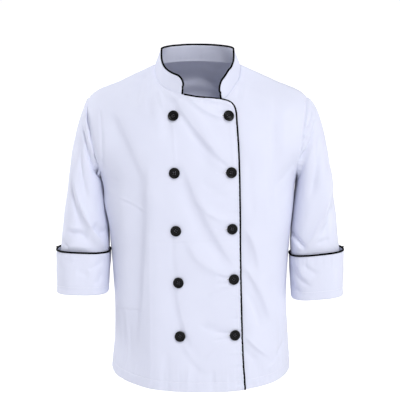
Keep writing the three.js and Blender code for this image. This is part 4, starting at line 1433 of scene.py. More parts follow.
@dataclass
class Arm:
    """A sleeve and its turned-back cuff, with the cuff's cord."""

    side: Side
    form: BodyForm
    finishes: Finishes
    top_z: float
    top_rise: float
    foot_z: float
    foot_rise: float
    chest_middle: float = 3.0
    wall: float = 1.2
    cuff_wall: float = 1.6
    cord: float = 2.0
    fold_radius: float = 3.4
    foot_inset: float = 5.2
    return_up: float = 8.4
    top_ring: tuple[float, ...] = (314.5, 196.6, 64, -15)
    foot_ring: tuple[float, ...] = (315, 202, 60, -22)
    cuff_tilt: float = 4.5
    cuff_square: float = 2.8
    columns: int = 161
    sleeve_rows: tuple[int, int, int] = (31, 116, 18)
    sleeve: Sheet = field(init=False)
    cuff: Sheet = field(init=False)

    def ring_point(self, ring: ArmRing, turn: np.ndarray, inset: np.ndarray) -> np.ndarray:
        """Give points of a ring of the arm.

        Args:
            ring: The ring.
            turn: Turns round the arm: 0 outside, 90 at the front.
            inset: How far inside the ring the points are.

        Returns:
            The points.
        """
        c, s = np.cos(np.radians(turn)), np.sin(np.radians(turn))
        c, s = (np.sign(way) * np.abs(way) ** (2 / ring.square) for way in (c, s))
        x = (ring.outer_x + ring.inner_x) / 2 + c * ((ring.outer_x - ring.inner_x) / 2 - inset)
        z = (ring.outer_z + ring.inner_z) / 2 + c * (ring.outer_z - ring.inner_z) / 2 + s * ring.tilt
        y = ring.middle_y - s * (ring.depth - inset)
        return np.stack(np.broadcast_arrays(self.chest_middle + self.side.value * x, y, z), axis=-1)

    def cuff_ring(self, above: np.ndarray) -> ArmRing:
        """Give the cuff's ring at heights above its foot.

        Args:
            above: The heights.

        Returns:
            The ring, with an array in each field that changes.
        """
        share = above / (self.top_z - self.foot_z)
        rise = lerp(self.foot_rise, self.top_rise, share)
        outer_x, inner_x, depth, middle_y = (
            lerp(foot, top, share) for foot, top in zip(self.foot_ring, self.top_ring)
        )
        z = self.foot_z + above
        return ArmRing(
            outer_x, z + rise, inner_x, z - rise, depth, middle_y, self.cuff_tilt, self.cuff_square
        )

    def away(self, turns: np.ndarray) -> np.ndarray:
        """Give vectors that point away from the arm."""
        c, s = np.cos(np.radians(turns)), np.sin(np.radians(turns))
        return np.stack([self.side.value * c, -s, 0.5 * c], axis=-1)

    def make_sleeve(self) -> None:
        """Make the sleeve, from the armhole to its end in the cuff."""
        turns = np.linspace(0, 360, self.columns)
        count = len(SLEEVE_RINGS)
        cap, arm, end = self.sleeve_rows
        steps = np.concatenate([
            np.linspace(0, 1, cap)[:-1], np.linspace(1, count, arm)[:-1], np.linspace(count, count + 1, end),
        ])
        degrees, level = self.form.armhole(turns, self.side)
        start, beside = self.form.cloth(self.side.value * degrees, level)
        rings = [start] + [self.ring_point(ring, turns, 0) for ring in SLEEVE_RINGS]
        rings.append(self.ring_point(self.cuff_ring(self.return_up), turns, self.foot_inset))
        rings = np.stack(rings)
        last = len(rings) - 1
        k = np.minimum(np.floor(steps).astype(int), last - 1)
        a, b, c, d = (rings[np.clip(k + n, 0, last)] for n in (-1, 0, 1, 2))
        t = (steps - k)[:, None, None]
        v0, v1 = (c - a) / 2, (d - b) / 2
        bare = (2 * b - 2 * c + v0 + v1) * t**3 + (3 * c - 3 * b - 2 * v0 - v1) * t**2 + v0 * t + b

        away = np.broadcast_to(self.away(turns)[None], bare.shape)
        normal = grid_normals(bare, True, away)
        at_seam = 1 - smooth(steps, 0, 0.25)[:, None, None]
        normal = unit(lerp(normal, beside[None], at_seam))
        x, z = bare[..., 0], bare[..., 2]
        s = np.abs(np.sin(np.radians(turns)))[None]
        ahead = np.sin(np.radians(turns))[None] > 0
        down = steps[:, None]
        large = [rises(SLEEVE_FOLDS[self.side, front], x, z) for front in (True, False)]
        fine = [rises(SLEEVE_CREASES[self.side, front], x, z) for front in (True, False)]
        ends = 1 - smooth(down, 7, 8)
        high = np.where(ahead, large[0], large[1]) * smooth(down, 0, 0.5) * ends * smooth(s, 0.1, 0.5)
        waves = unevenness(x + 0.6 * bare[..., 1], z, 50 + self.side.value, 60, 0.5)
        high = high + np.where(ahead, fine[0], fine[1]) * smooth(down, 0, 0.3) * ends * smooth(s, 0.05, 0.3)
        high = high + waves * smooth(down, 0, 0.4) * ends
        along, off = Edge(bare[0]).measure(bare)
        drawn = puckers(along, off, 8, 0.8, 60 + self.side.value) * (1 - smooth(down, 1, 1.6))
        roll = 1.6 * (off / 8) * np.exp(1 - off / 8) * (1 - smooth(down, 1, 1.8))
        at_cap = np.cos(np.radians(turns))[None] > -0.2
        high = high + seam_dip(off, SEAM_ROLL) + drawn + roll * (0.4 + 0.6 * at_cap)
        points = bare + normal * high[..., None]
        points[:, -1] = points[:, 0]
        name = f"sleeve_{self.side.word}"
        self.sleeve = grid_piece(name + "_cloth", points, away, self.finishes.twill, closed=True)
        thicken(self.sleeve.piece, self.wall)
        finish_piece(self.sleeve.piece, SLOT_TWILL, name)

    def make_cuff(self) -> None:
        """Make the cuff: down its outside, round the fold and up to the sleeve's end."""
        turns = np.linspace(0, 360, self.columns)
        high = self.top_z - self.foot_z
        bend = np.radians(np.linspace(0, 180, 13))
        up = np.concatenate([
            np.linspace(high, self.fold_radius, 26)[:-1], self.fold_radius * (1 - np.sin(bend)),
            [5.5, 8.0],
        ])
        inset = np.concatenate([np.zeros(25), self.fold_radius * (1 - np.cos(bend)), [6.8, 6.8]])
        ring = self.cuff_ring(up[:, None])
        bare = self.ring_point(ring, turns[None], inset[:, None])
        away = np.broadcast_to(self.away(turns)[None], bare.shape)
        normal = grid_normals(bare, True, away)
        x, z = bare[..., 0], bare[..., 2]
        s = np.sin(np.radians(turns))[None]
        dents = [rises(CUFF_FOLDS[self.side, front], x, z) for front in (True, False)]
        outside = (inset < 1)[:, None] * smooth(up, 2, 12)[:, None]
        relief = np.where(s > 0, dents[0], dents[1]) * smooth(np.abs(s), 0.05, 0.3)
        relief = relief + unevenness(x + 0.6 * bare[..., 1], z, 70 + self.side.value, 55, 0.45)
        run = np.radians(turns)[None] * 62
        relief = relief + stitch_dip(up[:, None], 14, 0.35) + stitch_dip(high - up[:, None], 4, 0.35)
        under_top = np.abs(high - up[:, None]) + 0 * z
        relief = relief + puckers(run + 0 * z, under_top, 7, 0.5, 72 + self.side.value)
        points = bare + normal * (relief * outside)[..., None]
        points[:, -1] = points[:, 0]
        name = f"cuff_{self.side.word}"
        self.cuff = grid_piece(name + "_cloth", points, away, self.finishes.twill, closed=True)
        thicken(self.cuff.piece, self.cuff_wall)
        finish_piece(self.cuff.piece, SLOT_TWILL, name)

    def make_cord(self) -> None:
        """Make the cord round the cuff's top, with a short tail at the outer side."""
        rim, out = self.cuff.points[0], self.cuff.outward[0]
        rise = Vector((0, 0, 1))
        path = rim - out * self.cuff_wall / 2 + np.array(rise) * (self.cord - 0.2)
        tail_up = path[0] + np.array([[0, 0, -0.6], [0.8, 0, 0.9], [1.2, 0, 2.4], [1.0, 0, 4.0]]) * [
            self.side.value, 1, 1
        ]
        bm = tube_bmesh(path[:-1], out[:-1], self.cord, closed=True)
        tail = tube_bmesh(tail_up, np.repeat([[0.0, -1.0, 0.0]], 4, axis=0), self.cord * 0.9)
        piece = join_tubes(f"cuff_cord_{self.side.word}", [bm, tail], self.finishes.cord)
        finish_piece(piece, SLOT_CORD, f"cuff_piping_{self.side.word}")


# Cords


def tube_bmesh(
    path: np.ndarray, across: np.ndarray, radius: float, closed: bool = False, sides: int = 12
) -> bmesh.types.BMesh:
    """Sweep a circle along a path.

    Args:
        path: Its middle points in millimetres.
        across: A direction at each point, about square to the path.
        radius: The tube's radius.
        closed: Whether the path comes back to its start.
        sides: The number of the tube's sides.

    Returns:
        The tube in metres, with its UV map laid along it.
    """
    if closed:
        path = np.concatenate([path, path[:1]])
        across = np.concatenate([across, across[:1]])
        ring = np.concatenate([path[-2:-1], path, path[1:2]])
        along = unit(ring[2:] - ring[:-2])
    else:
        along = unit(np.gradient(path, axis=0))
    side = unit(across - along * np.sum(across * along, axis=-1, keepdims=True))
    rise = np.cross(along, side)
    turns = np.linspace(0, 2 * np.pi, sides + 1)
    spokes = side[:, None] * np.cos(turns)[None, :, None] + rise[:, None] * np.sin(turns)[None, :, None]
    points = (path[:, None] + spokes * radius) * METRE
    runs = runs_along(path) * METRE

    bm = bmesh.new()
    laid = bm.loops.layers.uv.new("cloth")
    bmesh.ops.create_grid(bm, x_segments=sides, y_segments=len(path) - 1, size=1)
    order = sorted(bm.verts, key=lambda v: (round(v.co.y, 5), round(v.co.x, 5)))
    place = {}
    for index, vert in enumerate(order):
        i, j = divmod(index, sides + 1)
        vert.co = points[i, j]
        place[vert] = (runs[i], turns[j] * radius * METRE)
    for face in bm.faces:
        for loop in face.loops:
            loop[laid].uv = place[loop.vert]
    bmesh.ops.remove_doubles(bm, verts=bm.verts, dist=1e-6)
    if not closed:
        bmesh.ops.holes_fill(bm, edges=[edge for edge in bm.edges if edge.is_boundary])
    bmesh.ops.recalc_face_normals(bm, faces=bm.faces)
    return bm


def join_tubes(
    name: str, parts: Sequence[bmesh.types.BMesh], material: bpy.types.Material
) -> bpy.types.Object:
    """Make one piece of several bmeshes, and free them.

    Args:
        name: The piece's name.
        parts: The bmeshes, in metres.
        material: Its material.

    Returns:
        The piece.
    """
    whole = bmesh.new()
    for part in parts:
        mesh = bpy.data.meshes.new("part")
        part.to_mesh(mesh)
        part.free()
        whole.from_mesh(mesh)
        bpy.data.meshes.remove(mesh)
    return bmesh_piece(name, whole, material)


def beside(line: np.ndarray, outward: np.ndarray, away: float) -> np.ndarray:
    """Move a line sideways within its surface.

    Args:
        line: The line's points.
        outward: The surface's outward direction at each.
        away: How far, to the left when looking along the line from outside.

    Returns:
        The moved line.
    """
    along = unit(np.gradient(line, axis=0))
    return line + unit(np.cross(outward, along)) * away


# The collar


COLLAR_FOLDS = (
    Fold(-52, -20, -44, -52, 2, 7, -0.9),
    Fold(-66, -6, -58, -44, 2, 8, 0.6),
    Fold(56, -16, 50, -52, -2, 7, -0.9),
    Fold(70, 0, 64, -40, -2, 8, 0.6),
)


@dataclass
class Collar:
    """The stand collar, sewn on the neckline, with rounded front ends and a cord round its edge."""

    body: Body
    finishes: Finishes
    height: float = 35.0
    end_height: float = 18.0
    wall: float = 2.4
    front_lean: float = 12.0
    side_lean: float = 22.0
    back_lean: float = 10.0
    tucked: float = 1.4
    cord: float = 2.0
    right_column: float = 11.0
    left_column: float = 12.0
    stand: Sheet = field(init=False)

    def neckline(self) -> np.ndarray:
        """Join the panels' top edges, from the collar's right end round the back to its left end."""
        right = self.body.outer.points[-1][: self.body.column(Side.RIGHT, self.right_column) + 1][::-1]
        back = self.body.back.points[-1][::-1]
        left = self.body.inner.points[-1][: self.body.column(Side.LEFT, self.left_column) + 1]
        line = np.concatenate([right, back[1:-1], left])
        return line + unit(line * [1, 1, 0]) * 0.5

    def make(self) -> None:
        """Make the collar and its cord."""
        line = self.neckline()
        total = runs_along(line)[-1]
        corner = self.height - self.end_height
        bend = corner * (1 - np.cos(np.radians(np.linspace(0, 90, 15))))
        runs = np.concatenate([bend, np.linspace(corner, total - corner, 150)[1:-1], total - bend[::-1]])
        base = resampled(line, runs)
        short = np.maximum(0, corner - np.minimum(runs, total - runs))
        heights = self.end_height + np.sqrt(np.maximum(corner**2 - short**2, 0))

        even_runs = np.linspace(0, total, 240)
        even = resampled(line, even_runs)
        along = unit(np.gradient(even, axis=0))
        for _ in range(12):
            along[1:-1] = (along[:-2] + along[1:-1] * 2 + along[2:]) / 4
        along = np.stack([np.interp(runs, even_runs, along[:, k]) for k in range(3)], axis=-1)
        flat_out = unit(np.cross(along, [0, 0, 1]) * [1, 1, 0])
        flat_out *= np.where(np.sum(flat_out * base, axis=-1, keepdims=True) < 0, -1, 1)
        ahead, behind = np.maximum(0, -flat_out[:, 1]), np.maximum(0, flat_out[:, 1])
        lean = np.radians(lerp(lerp(self.side_lean, self.front_lean, ahead), self.back_lean, behind))[:, None]
        rise = np.array([[0, 0, 1]]) * np.cos(lean) - flat_out * np.sin(lean)
        out = flat_out * np.cos(lean) + np.array([[0, 0, 1]]) * np.sin(lean)

        share = np.concatenate([[-self.tucked / self.height], np.linspace(0, 1, 15)])
        up = share[:, None] * heights[None]
        bare = base[None] + rise[None] * up[..., None]
        x, z = bare[..., 0], bare[..., 2]
        from_rim = heights[None] - up
        high = rises(COLLAR_FOLDS, x, z) * (bare[..., 1] < 0) * smooth(share, 0, 0.3)[:, None]
        high = high + unevenness(x + bare[..., 1], z, 80, 48, 0.35) * smooth(share, 0, 0.4)[:, None]
        high = high - 0.7 * np.exp(-((up / 2.2) ** 2)) + stitch_dip(from_rim, 4.5, 0.3)
        high = high + puckers(runs[None] + 0 * up, np.clip(up, 0, None), 5, 0.2, 82)
        points = bare + out[None] * high[..., None]
        away = np.broadcast_to(out[None], points.shape)
        self.stand = grid_piece("collar_cloth", points, away, self.finishes.twill)
        thicken(self.stand.piece, self.wall)
        finish_piece(self.stand.piece, SLOT_TWILL, "collar")

        grid, outward = self.stand.points[1:], self.stand.outward[1:]
        rim = np.concatenate([grid[:-1, 0], grid[-1], grid[:-1, -1][::-1]])
        outs = np.concatenate([outward[:-1, 0], outward[-1], outward[:-1, -1][::-1]])
        path = beside(rim - outs * self.wall / 2, outs, self.cord - 0.3)
        middle = path[len(path) // 2]
        if middle[2] < rim[len(rim) // 2][2]:
            path = beside(rim - outs * self.wall / 2, outs, 0.3 - self.cord)
        piece = join_tubes("collar_cord", [tube_bmesh(path, outs, self.cord)], self.finishes.cord)
        finish_piece(piece, SLOT_CORD, "collar_piping")


@dataclass
class FrontCord:
    """The cord along the outer front's top, round its corner and down to the hem."""

    body: Body
    finishes: Finishes
    cord: float = 2.0
    sunk: float = 0.4
    start_column: float = 11.2

    def make(self) -> None:
        """Make the cord."""
        start = self.body.column(Side.RIGHT, self.start_column)
        points, outward = self.body.outer.points, self.body.outer.outward
        line = np.concatenate([points[-1, start:], points[:-1, -1][::-1]])
        outs = np.concatenate([outward[-1, start:], outward[:-1, -1][::-1]])
        total = runs_along(line)[-1]
        at = np.arange(0, total, 3.0)
        outs = unit(np.stack([np.interp(at, runs_along(line), outs[:, k]) for k in range(3)], axis=-1))
        line = resampled(line, at)
        for _ in range(2):
            line[1:-1] = (line[:-2] + 2 * line[1:-1] + line[2:]) / 4
        path = beside(line - outs * self.sunk, outs, self.cord - 0.5)
        if path[len(path) // 2][0] < line[len(line) // 2][0]:
            path = beside(line - outs * self.sunk, outs, 0.5 - self.cord)
        piece = join_tubes("front_cord", [tube_bmesh(path, outs, self.cord)], self.finishes.cord)
        finish_piece(piece, SLOT_CORD, "front_piping")


# Sewing


@dataclass
class Sewing:
    """Rows of lockstitch, each stitch a short length of thread pulled into the cloth."""

    finishes: Finishes
    pitch: float = 2.9
    length: float = 2.3
    radius: float = 0.27
    proud: float = 0.1

    def row(self, sheet: Sheet, line: np.ndarray) -> list[Matrix]:
        """Place stitches along a line on a sheet.

        Args:
            sheet: The cloth.
            line: Points on or near it.

        Returns:
            Each stitch's place.
        """
        places = []
        middles = resampled(line, np.arange(self.pitch / 2, runs_along(line)[-1], self.pitch))
        for i, middle in enumerate(middles[:-1]):
            spot, normal, _, _ = sheet.tree.find_nearest(Vector(middle) * METRE)
            along = Vector(middles[i + 1] - middle)
            along = (along - normal * along.dot(normal)).normalized()
            place = Matrix((along, normal.cross(along), normal)).transposed().to_4x4()
            place.translation = spot + normal * self.proud * METRE
            places.append(place)
        return places

    def make(self, name: str, places: Sequence[Matrix]) -> None:
        """Make one piece of all the stitches of a part of the jacket.

        Args:
            name: The piece's name.
            places: Each stitch's place.
        """
        stitch = bmesh.new()
        bmesh.ops.create_icosphere(stitch, subdivisions=1, radius=1)
        size = Vector((self.length / 2, self.radius, self.radius)) * METRE
        bmesh.ops.scale(stitch, vec=size, verts=stitch.verts)
        template = bpy.data.meshes.new("stitch")
        stitch.to_mesh(template)
        stitch.free()
        bm = bmesh.new()
        for place in places:
            copy = template.copy()
            copy.transform(place)
            bm.from_mesh(copy)
            bpy.data.meshes.remove(copy)
        bpy.data.meshes.remove(template)
        piece = bmesh_piece(name, bm, self.finishes.white_thread)
        finish_piece(piece, SLOT_TWILL)


@dataclass
class Stitching:
    """The rows of topstitching that hold the jacket together."""

    body: Body
    collar: Collar
    arms: Sequence[Arm]
    sewing: Sewing
    armpit_z: float = -236.0
    shoulder_rows: int = 36
    seam_rows: tuple[float, float] = (1.8, 6.5)
    corner_column: float = 11.4
    collar_in: float = 4.5
    cuff_in: float = 4.0
    cuff_foot_row: int = 21

    def offset(self, sheet: Sheet, line: np.ndarray, outs: np.ndarray, off: float) -> np.ndarray:
        """Move an edge of a sheet into it, whichever side that is.

        Args:
            sheet: The sheet.
            line: The edge's points.
            outs: The outward direction at each.
            off: How far it moves.

        Returns:
            The moved line.
        """
        inner = beside(line, outs, off)
        middle = len(line) // 2
        grid = sheet.points.reshape(-1, 3)
        near = np.min(np.linalg.norm(grid - inner[middle], axis=1))
        other = beside(line, outs, -off)
        return inner if near < np.min(np.linalg.norm(grid - other[middle], axis=1)) else other

    def make(self) -> None:
        """Sew the hem, front edge, armholes, collar and cuffs."""
        hem, holes = [], []
        for sheet in (self.body.back, self.body.outer, self.body.inner):
            line = self.offset(sheet, sheet.points[0], sheet.outward[0], self.body.hem_depth)
            hem += self.sewing.row(sheet, line)
        for sheet, column in (
            (self.body.back, 0), (self.body.back, -1), (self.body.outer, 0), (self.body.inner, 0),
        ):
            heights = sheet.points[:, column, 2]
            below_shoulder = np.arange(len(heights)) < len(heights) - self.shoulder_rows
            rows = (heights > self.armpit_z) & below_shoulder
            for off in self.seam_rows:
                line = self.offset(sheet, sheet.points[rows, column], sheet.outward[rows, column], off)
                holes += self.sewing.row(sheet, line)
        self.sewing.make("hem_stitching", hem)
        self.sewing.make("armhole_stitching", holes)

        outer = self.body.outer
        start = self.body.column(Side.RIGHT, self.corner_column)
        line = np.concatenate([outer.points[-1, start:], outer.points[:-1, -1][::-1]])
        outs = np.concatenate([outer.outward[-1, start:], outer.outward[:-1, -1][::-1]])
        edge = self.sewing.row(outer, self.offset(outer, line, outs, self.body.edge_stitch)[3:])
        self.sewing.make("front_edge_stitching", edge)

        stand = self.collar.stand
        grid, outward = stand.points[1:], stand.outward[1:]
        rim = np.concatenate([grid[4:-1, 0], grid[-1], grid[4:-1, -1][::-1]])
        outs = np.concatenate([outward[4:-1, 0], outward[-1], outward[4:-1, -1][::-1]])
        line = self.offset(stand, rim, outs, self.collar_in)
        collar = self.sewing.row(stand, line)
        self.sewing.make("collar_stitching", collar)

        for arm in self.arms:
            rows = arm.cuff.points
            upper = self.offset(arm.cuff, rows[0], arm.cuff.outward[0], self.cuff_in)
            top = self.sewing.row(arm.cuff, upper)
            foot = self.sewing.row(arm.cuff, rows[self.cuff_foot_row])
            self.sewing.make(f"cuff_stitching_{arm.side.word}", top + foot)


# Buttons and buttonholes


@dataclass(frozen=True)
class ButtonRow:
    """A row of two buttons, by their places seen from the front."""

    right_x: float
    right_z: float
    left_x: float
    left_z: float


@dataclass
class Buttons:
    """Ten four-hole buttons with a raised rim, sewn on with black thread."""

    body: Body
    finishes: Finishes
    radius: float = 11.4
    rim_height: float = 2.8
    dish_height: float = 1.8
    stand_off: float = 0.5
    hole: float = 1.05
    hole_place: float = 1.9
    rows: tuple[ButtonRow, ...] = (
        ButtonRow(-52, -97.5, 62, -97.5),
        ButtonRow(-50, -214, 68, -213),
        ButtonRow(-47, -335, 70, -331),
        ButtonRow(-42, -446, 74, -439),
        ButtonRow(-39, -562.5, 77, -560),
    )
    slit: float = 24.0
    slit_left: float = 13.5
    in_front: float = -400.0

    def disc(self) -> bpy.types.Mesh:
        """Turn the button's disc and drill its four holes, in metres about its own middle."""
        r, high, dish = self.radius, self.rim_height, self.dish_height
        profile = [
            (0, 0), (r - 2.4, 0), (r - 1.1, 0.35), (r - 0.25, 1.2), (r, 2.0), (r - 0.25, high - 0.45),
            (r - 0.8, high - 0.05), (r - 1.5, high), (r - 2.2, high - 0.15), (r - 2.9, high - 0.6),
            (r - 3.8, dish + 0.1), (r - 5.2, dish), (r - 6.4, dish + 0.35), (r - 7.2, dish + 0.1),
            (2.4, dish - 0.25), (0, dish - 0.35),
        ]
        bm = bmesh.new()
        verts = [bm.verts.new((x * METRE, 0, z * METRE)) for x, z in profile]
        edges = [bm.edges.new(pair) for pair in zip(verts, verts[1:])]
        bmesh.ops.spin(
            bm, geom=verts + edges, cent=(0, 0, 0), axis=(0, 0, 1), angle=2 * math.pi, steps=40,
            use_merge=True,
        )
        bmesh.ops.remove_doubles(bm, verts=bm.verts, dist=1e-6)
        bmesh.ops.recalc_face_normals(bm, faces=bm.faces)
        plain = bmesh_piece("button_template", bm, self.finishes.resin)
        drill = bmesh.new()
        for x in (-1, 1):
            for y in (-1, 1):
                place = Matrix.Translation((x * self.hole_place * METRE, y * self.hole_place * METRE, 0.001))
                bmesh.ops.create_cone(
                    drill, cap_ends=True, segments=14, radius1=self.hole * METRE, radius2=self.hole * METRE,
                    depth=0.01, matrix=place,
                )
        drills = bmesh_piece("drill_template", drill, self.finishes.resin)
        cut = plain.modifiers.new("holes", "BOOLEAN")
        cut.operation = "DIFFERENCE"
        cut.object = drills
        cut.solver = "EXACT"
        seen = plain.evaluated_get(bpy.context.evaluated_depsgraph_get())
        mesh = bpy.data.meshes.new_from_object(seen)
        for template in (plain, drills):
            bpy.data.objects.remove(template)
        return mesh

    def threads(self) -> bmesh.types.BMesh:
        """Make the sewing: two bars through the holes and the shank under the disc."""
        bm = bmesh.new()
        top = self.dish_height + 0.25
        for y in (-1, 1):
            for strand in (-0.42, 0, 0.42):
                bar = bmesh.ops.create_icosphere(bm, subdivisions=2, radius=1)["verts"]
                size = Vector((self.hole_place + 0.7, 0.3, 0.42 - abs(strand) * 0.3)) * METRE
                bmesh.ops.scale(bm, vec=size, verts=bar)
                shift = Vector((0, y * self.hole_place + strand, top)) * METRE
                bmesh.ops.translate(bm, vec=shift, verts=bar)
        long = self.stand_off + 1.6
        place = Matrix.Translation((0, 0, -long / 2 * METRE + 0.0002))
        bmesh.ops.create_cone(
            bm, cap_ends=True, segments=12, radius1=2.3 * METRE, radius2=1.9 * METRE, depth=long * METRE,
            matrix=place,
        )
        return bm

    def seat(self, x: float, z: float) -> tuple[Vector, Vector, Vector]:
        """Find where a button sits on the outer front.

        Args:
            x: Its place across.
            z: Its place up.

        Returns:
            Its foot on the cloth, its axis and its underside's middle, in metres.
        """

        def hit(dx: float, dz: float) -> Vector:
            """Find the cloth behind a spot beside the button's middle."""
            start = Vector((x + dx, self.in_front, z + dz)) * METRE
            return self.body.outer.tree.ray_cast(start, Vector((0, 1, 0)))[0]

        turns = [math.pi * k / 4 for k in range(8)]
        rim = [hit(self.radius * math.cos(t), self.radius * math.sin(t)) for t in turns]
        foot = hit(0, 0)
        axis = (rim[0] - rim[4]).cross(rim[2] - rim[6]).normalized()
        if axis.y > 0:
            axis.negate()
        highest = max(0.0, *((point - foot).dot(axis) for point in rim))
        return foot, axis, foot + axis * (highest + self.stand_off * METRE)

    def frame_at(self, axis: Vector, place: Vector, turn: float) -> Matrix:
        """Make a place that stands along an axis, turned about it.

        Args:
            axis: The axis.
            place: Its point.
            turn: The turn, in radians.

        Returns:
            The place.
        """
        across = Vector((1, 0, 0))
        across = (across - axis * across.dot(axis)).normalized()
        made = Matrix((across, axis.cross(across), axis)).transposed().to_4x4()
        made.translation = place
        return made @ Matrix.Rotation(turn, 4, "Z")

    def buttonhole(self, foot: Vector, axis: Vector, label: str) -> None:
        """Make a buttonhole: a bead of satin stitch round a thin dark tube laid on the cloth as the slit's
        painted shadow.

        Args:
            foot: The button's foot on the cloth, in metres.
            axis: The button's axis.
            label: The button's side and number.
        """
        left, right = -self.slit_left, self.slit - self.slit_left
        half = 1.1
        ends = np.radians(np.linspace(90, 270, 9))
        loop = [(left + half * math.cos(t), half * math.sin(t)) for t in ends]
        loop += [(right - half * math.cos(t), -half * math.sin(t)) for t in ends]
        place = self.frame_at(axis, foot, 0)
        flat = []
        for x, y in loop:
            spot, normal, _, _ = self.body.outer.tree.find_nearest(place @ (Vector((x, y, 0)) * METRE))
            flat.append(np.array(spot + normal * 0.00015) / METRE)
        outs = np.repeat([list(axis)], len(flat), axis=0)
        bead = tube_bmesh(np.array(flat), outs, 0.75, closed=True, sides=8)
        piece = join_tubes(f"buttonhole_{label}", [bead], self.finishes.white_thread)
        finish_piece(piece, SLOT_TWILL)
        # Painted shadow: the slit is not cut; a dark tube just above the cloth stands for the shade inside
        # the gap.
        slit = [(left, 0), ((left + right) / 2, 0), (right, 0)]
        spots = []
        for x, y in slit:
            spot, normal, _, _ = self.body.outer.tree.find_nearest(place @ (Vector((x, y, 0)) * METRE))
            spots.append(np.array(spot + normal * 0.00005) / METRE)
        painted_slit_shadow = join_tubes(
            f"buttonhole_slit_{label}", [tube_bmesh(np.array(spots), outs[:3], 0.45, sides=6)],
            self.finishes.black_thread,
        )
        finish_piece(painted_slit_shadow, SLOT_CORD)

    def make(self) -> None:
        """Make all buttons, and the buttonholes of the left column."""
        disc = self.disc()
        draw = np.random.default_rng(5)
        for number, row in enumerate(self.rows, 1):
            for side, x, z in ((Side.RIGHT, row.right_x, row.right_z), (Side.LEFT, row.left_x, row.left_z)):
                label = f"{side.word}_{number}"
                foot, axis, under = self.seat(x, z)
                place = self.frame_at(axis, under, draw.uniform(-0.7, 0.7))
                mesh = disc.copy()
                mesh.transform(place)
                for polygon in mesh.polygons:
                    polygon.use_smooth = True
                mesh.name = f"button_{label}_disc"
                piece = bpy.data.objects.new(mesh.name, mesh)
                bpy.context.collection.objects.link(piece)
                finish_piece(piece, SLOT_RESIN, f"button_{label}")
                bm = self.threads()
                bm.transform(place)
                thread = bmesh_piece(f"button_{label}_thread", bm, self.finishes.black_thread)
                finish_piece(thread, SLOT_CORD)
                if side is Side.LEFT:
                    self.buttonhole(foot, axis, label)
        bpy.data.meshes.remove(disc)


# The studio


@dataclass(frozen=True)
class SoftLight:
    """A square soft light, aimed at the jacket's middle."""

    name: str
    place: tuple[float, float, float]
    size: float
    power: float
    tint: str = "#FFFFFF"

    def make(self, aim: Vector) -> None:
        """Hang the light.

        Args:
            aim: The point that it shines at.
        """
        data = bpy.data.lights.new(self.name, "AREA")
        data.shape = "SQUARE"
        data.size = self.size
        data.energy = self.power
        data.color = colour(self.tint)[:3]
        lamp = bpy.data.objects.new(self.name, data)
        lamp.location = self.place
        lamp.rotation_euler = (aim - Vector(self.place)).to_track_quat("-Z", "Y").to_euler()
        bpy.context.collection.objects.link(lamp)


@dataclass(frozen=True)
class FarLight:
    """A large soft light far away, by the direction it shines from."""

    name: str
    source: tuple[float, float, float]
    power: float
    softness: float

    def make(self) -> None:
        """Hang the light."""
        data = bpy.data.lights.new(self.name, "SUN")
        data.energy = self.power
        data.angle = math.radians(self.softness)
        lamp = bpy.data.objects.new(self.name, data)
        lamp.rotation_euler = (-Vector(self.source)).to_track_quat("-Z", "Y").to_euler()
        bpy.context.collection.objects.link(lamp)


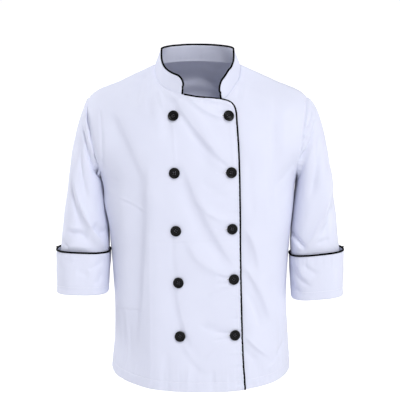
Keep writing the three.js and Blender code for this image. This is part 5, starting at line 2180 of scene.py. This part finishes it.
@dataclass
class Studio:
    """A pale floor, soft lights and the camera at the photograph's angle."""

    finishes: Finishes
    floor_z: float = -1.25
    floor_size: float = 40.0
    camera_place: tuple[float, float, float] = (0.00308, -2.3635, 0.1233)
    camera_pitch: float = 10.0
    lens: float = 98.18
    sky: float = 0.17
    horizon: float = 1.04
    far_lights: tuple[FarLight, ...] = (
        FarLight("key", (0.24, -0.56, 0.8), 1.7, 12.0),
        FarLight("top", (0.0, 0.1, 1.0), 0.6, 50.0),
    )
    lights: tuple[SoftLight, ...] = (
        SoftLight("side", (2.2, -1.2, 0.3), 1.0, 5.0),
        SoftLight("behind", (-2.4, 1.5, 0.9), 0.9, 34.0),
    )

    def make_sky(self) -> None:
        """Surround the studio with a pale room: white near the floor, darker overhead."""
        world = bpy.data.worlds.new("studio")
        world.use_nodes = True
        tree = world.node_tree
        tree.nodes.clear()
        way = node(tree, "ShaderNodeTexCoord").outputs["Generated"]
        up = node(tree, "ShaderNodeSeparateXYZ", {"Vector": way}).outputs["Z"]
        power = node(
            tree, "ShaderNodeMapRange",
            {"Value": up, "From Min": 0.12, "From Max": 0.36, "To Min": self.horizon, "To Max": self.sky},
            interpolation_type="SMOOTHSTEP",
        )
        light = node(
            tree, "ShaderNodeBackground", {"Color": colour("#FCFCFF"), "Strength": power.outputs[0]},
        )
        node(tree, "ShaderNodeOutputWorld", {"Surface": light.outputs[0]})
        bpy.context.scene.world = world

    def make(self) -> None:
        """Set up the studio."""
        # The floor is the paper, with its painted glow away from the jacket.
        bm = bmesh.new()
        bmesh.ops.create_circle(bm, cap_ends=True, segments=96, radius=self.floor_size)
        bmesh.ops.translate(bm, vec=(0, 0, self.floor_z), verts=bm.verts)
        bmesh_piece("studio_floor", bm, self.finishes.paper)
        self.make_sky()
        bpy.context.scene.view_settings.view_transform = "Standard"
        for light in self.far_lights:
            light.make()
        for light in self.lights:
            light.make(Vector((0, 0, -0.3)))
        data = bpy.data.cameras.new("photo_camera")
        data.lens = self.lens
        camera = bpy.data.objects.new("photo_camera", data)
        camera.location = self.camera_place
        camera.rotation_euler = (math.radians(90 - self.camera_pitch), 0, 0)
        bpy.context.collection.objects.link(camera)
        bpy.context.scene.camera = camera


def main() -> None:
    """Dress the jacket, from the studio to the last button."""
    logging.basicConfig(level=logging.INFO, format="%(message)s")
    finishes = Finishes()
    Studio(finishes).make()
    form = BodyForm()
    body = Body(form, finishes)
    body.make()
    arms = (
        Arm(Side.RIGHT, form, finishes, top_z=-401.5, top_rise=2, foot_z=-493.5, foot_rise=0.5),
        Arm(Side.LEFT, form, finishes, top_z=-405.5, top_rise=6, foot_z=-503, foot_rise=4.5),
    )
    for arm in arms:
        arm.make_sleeve()
        arm.make_cuff()
        arm.make_cord()
    collar = Collar(body, finishes)
    collar.make()
    FrontCord(body, finishes).make()
    Stitching(body, collar, arms, Sewing(finishes)).make()
    Buttons(body, finishes).make()


if __name__ == "__main__":
    main()
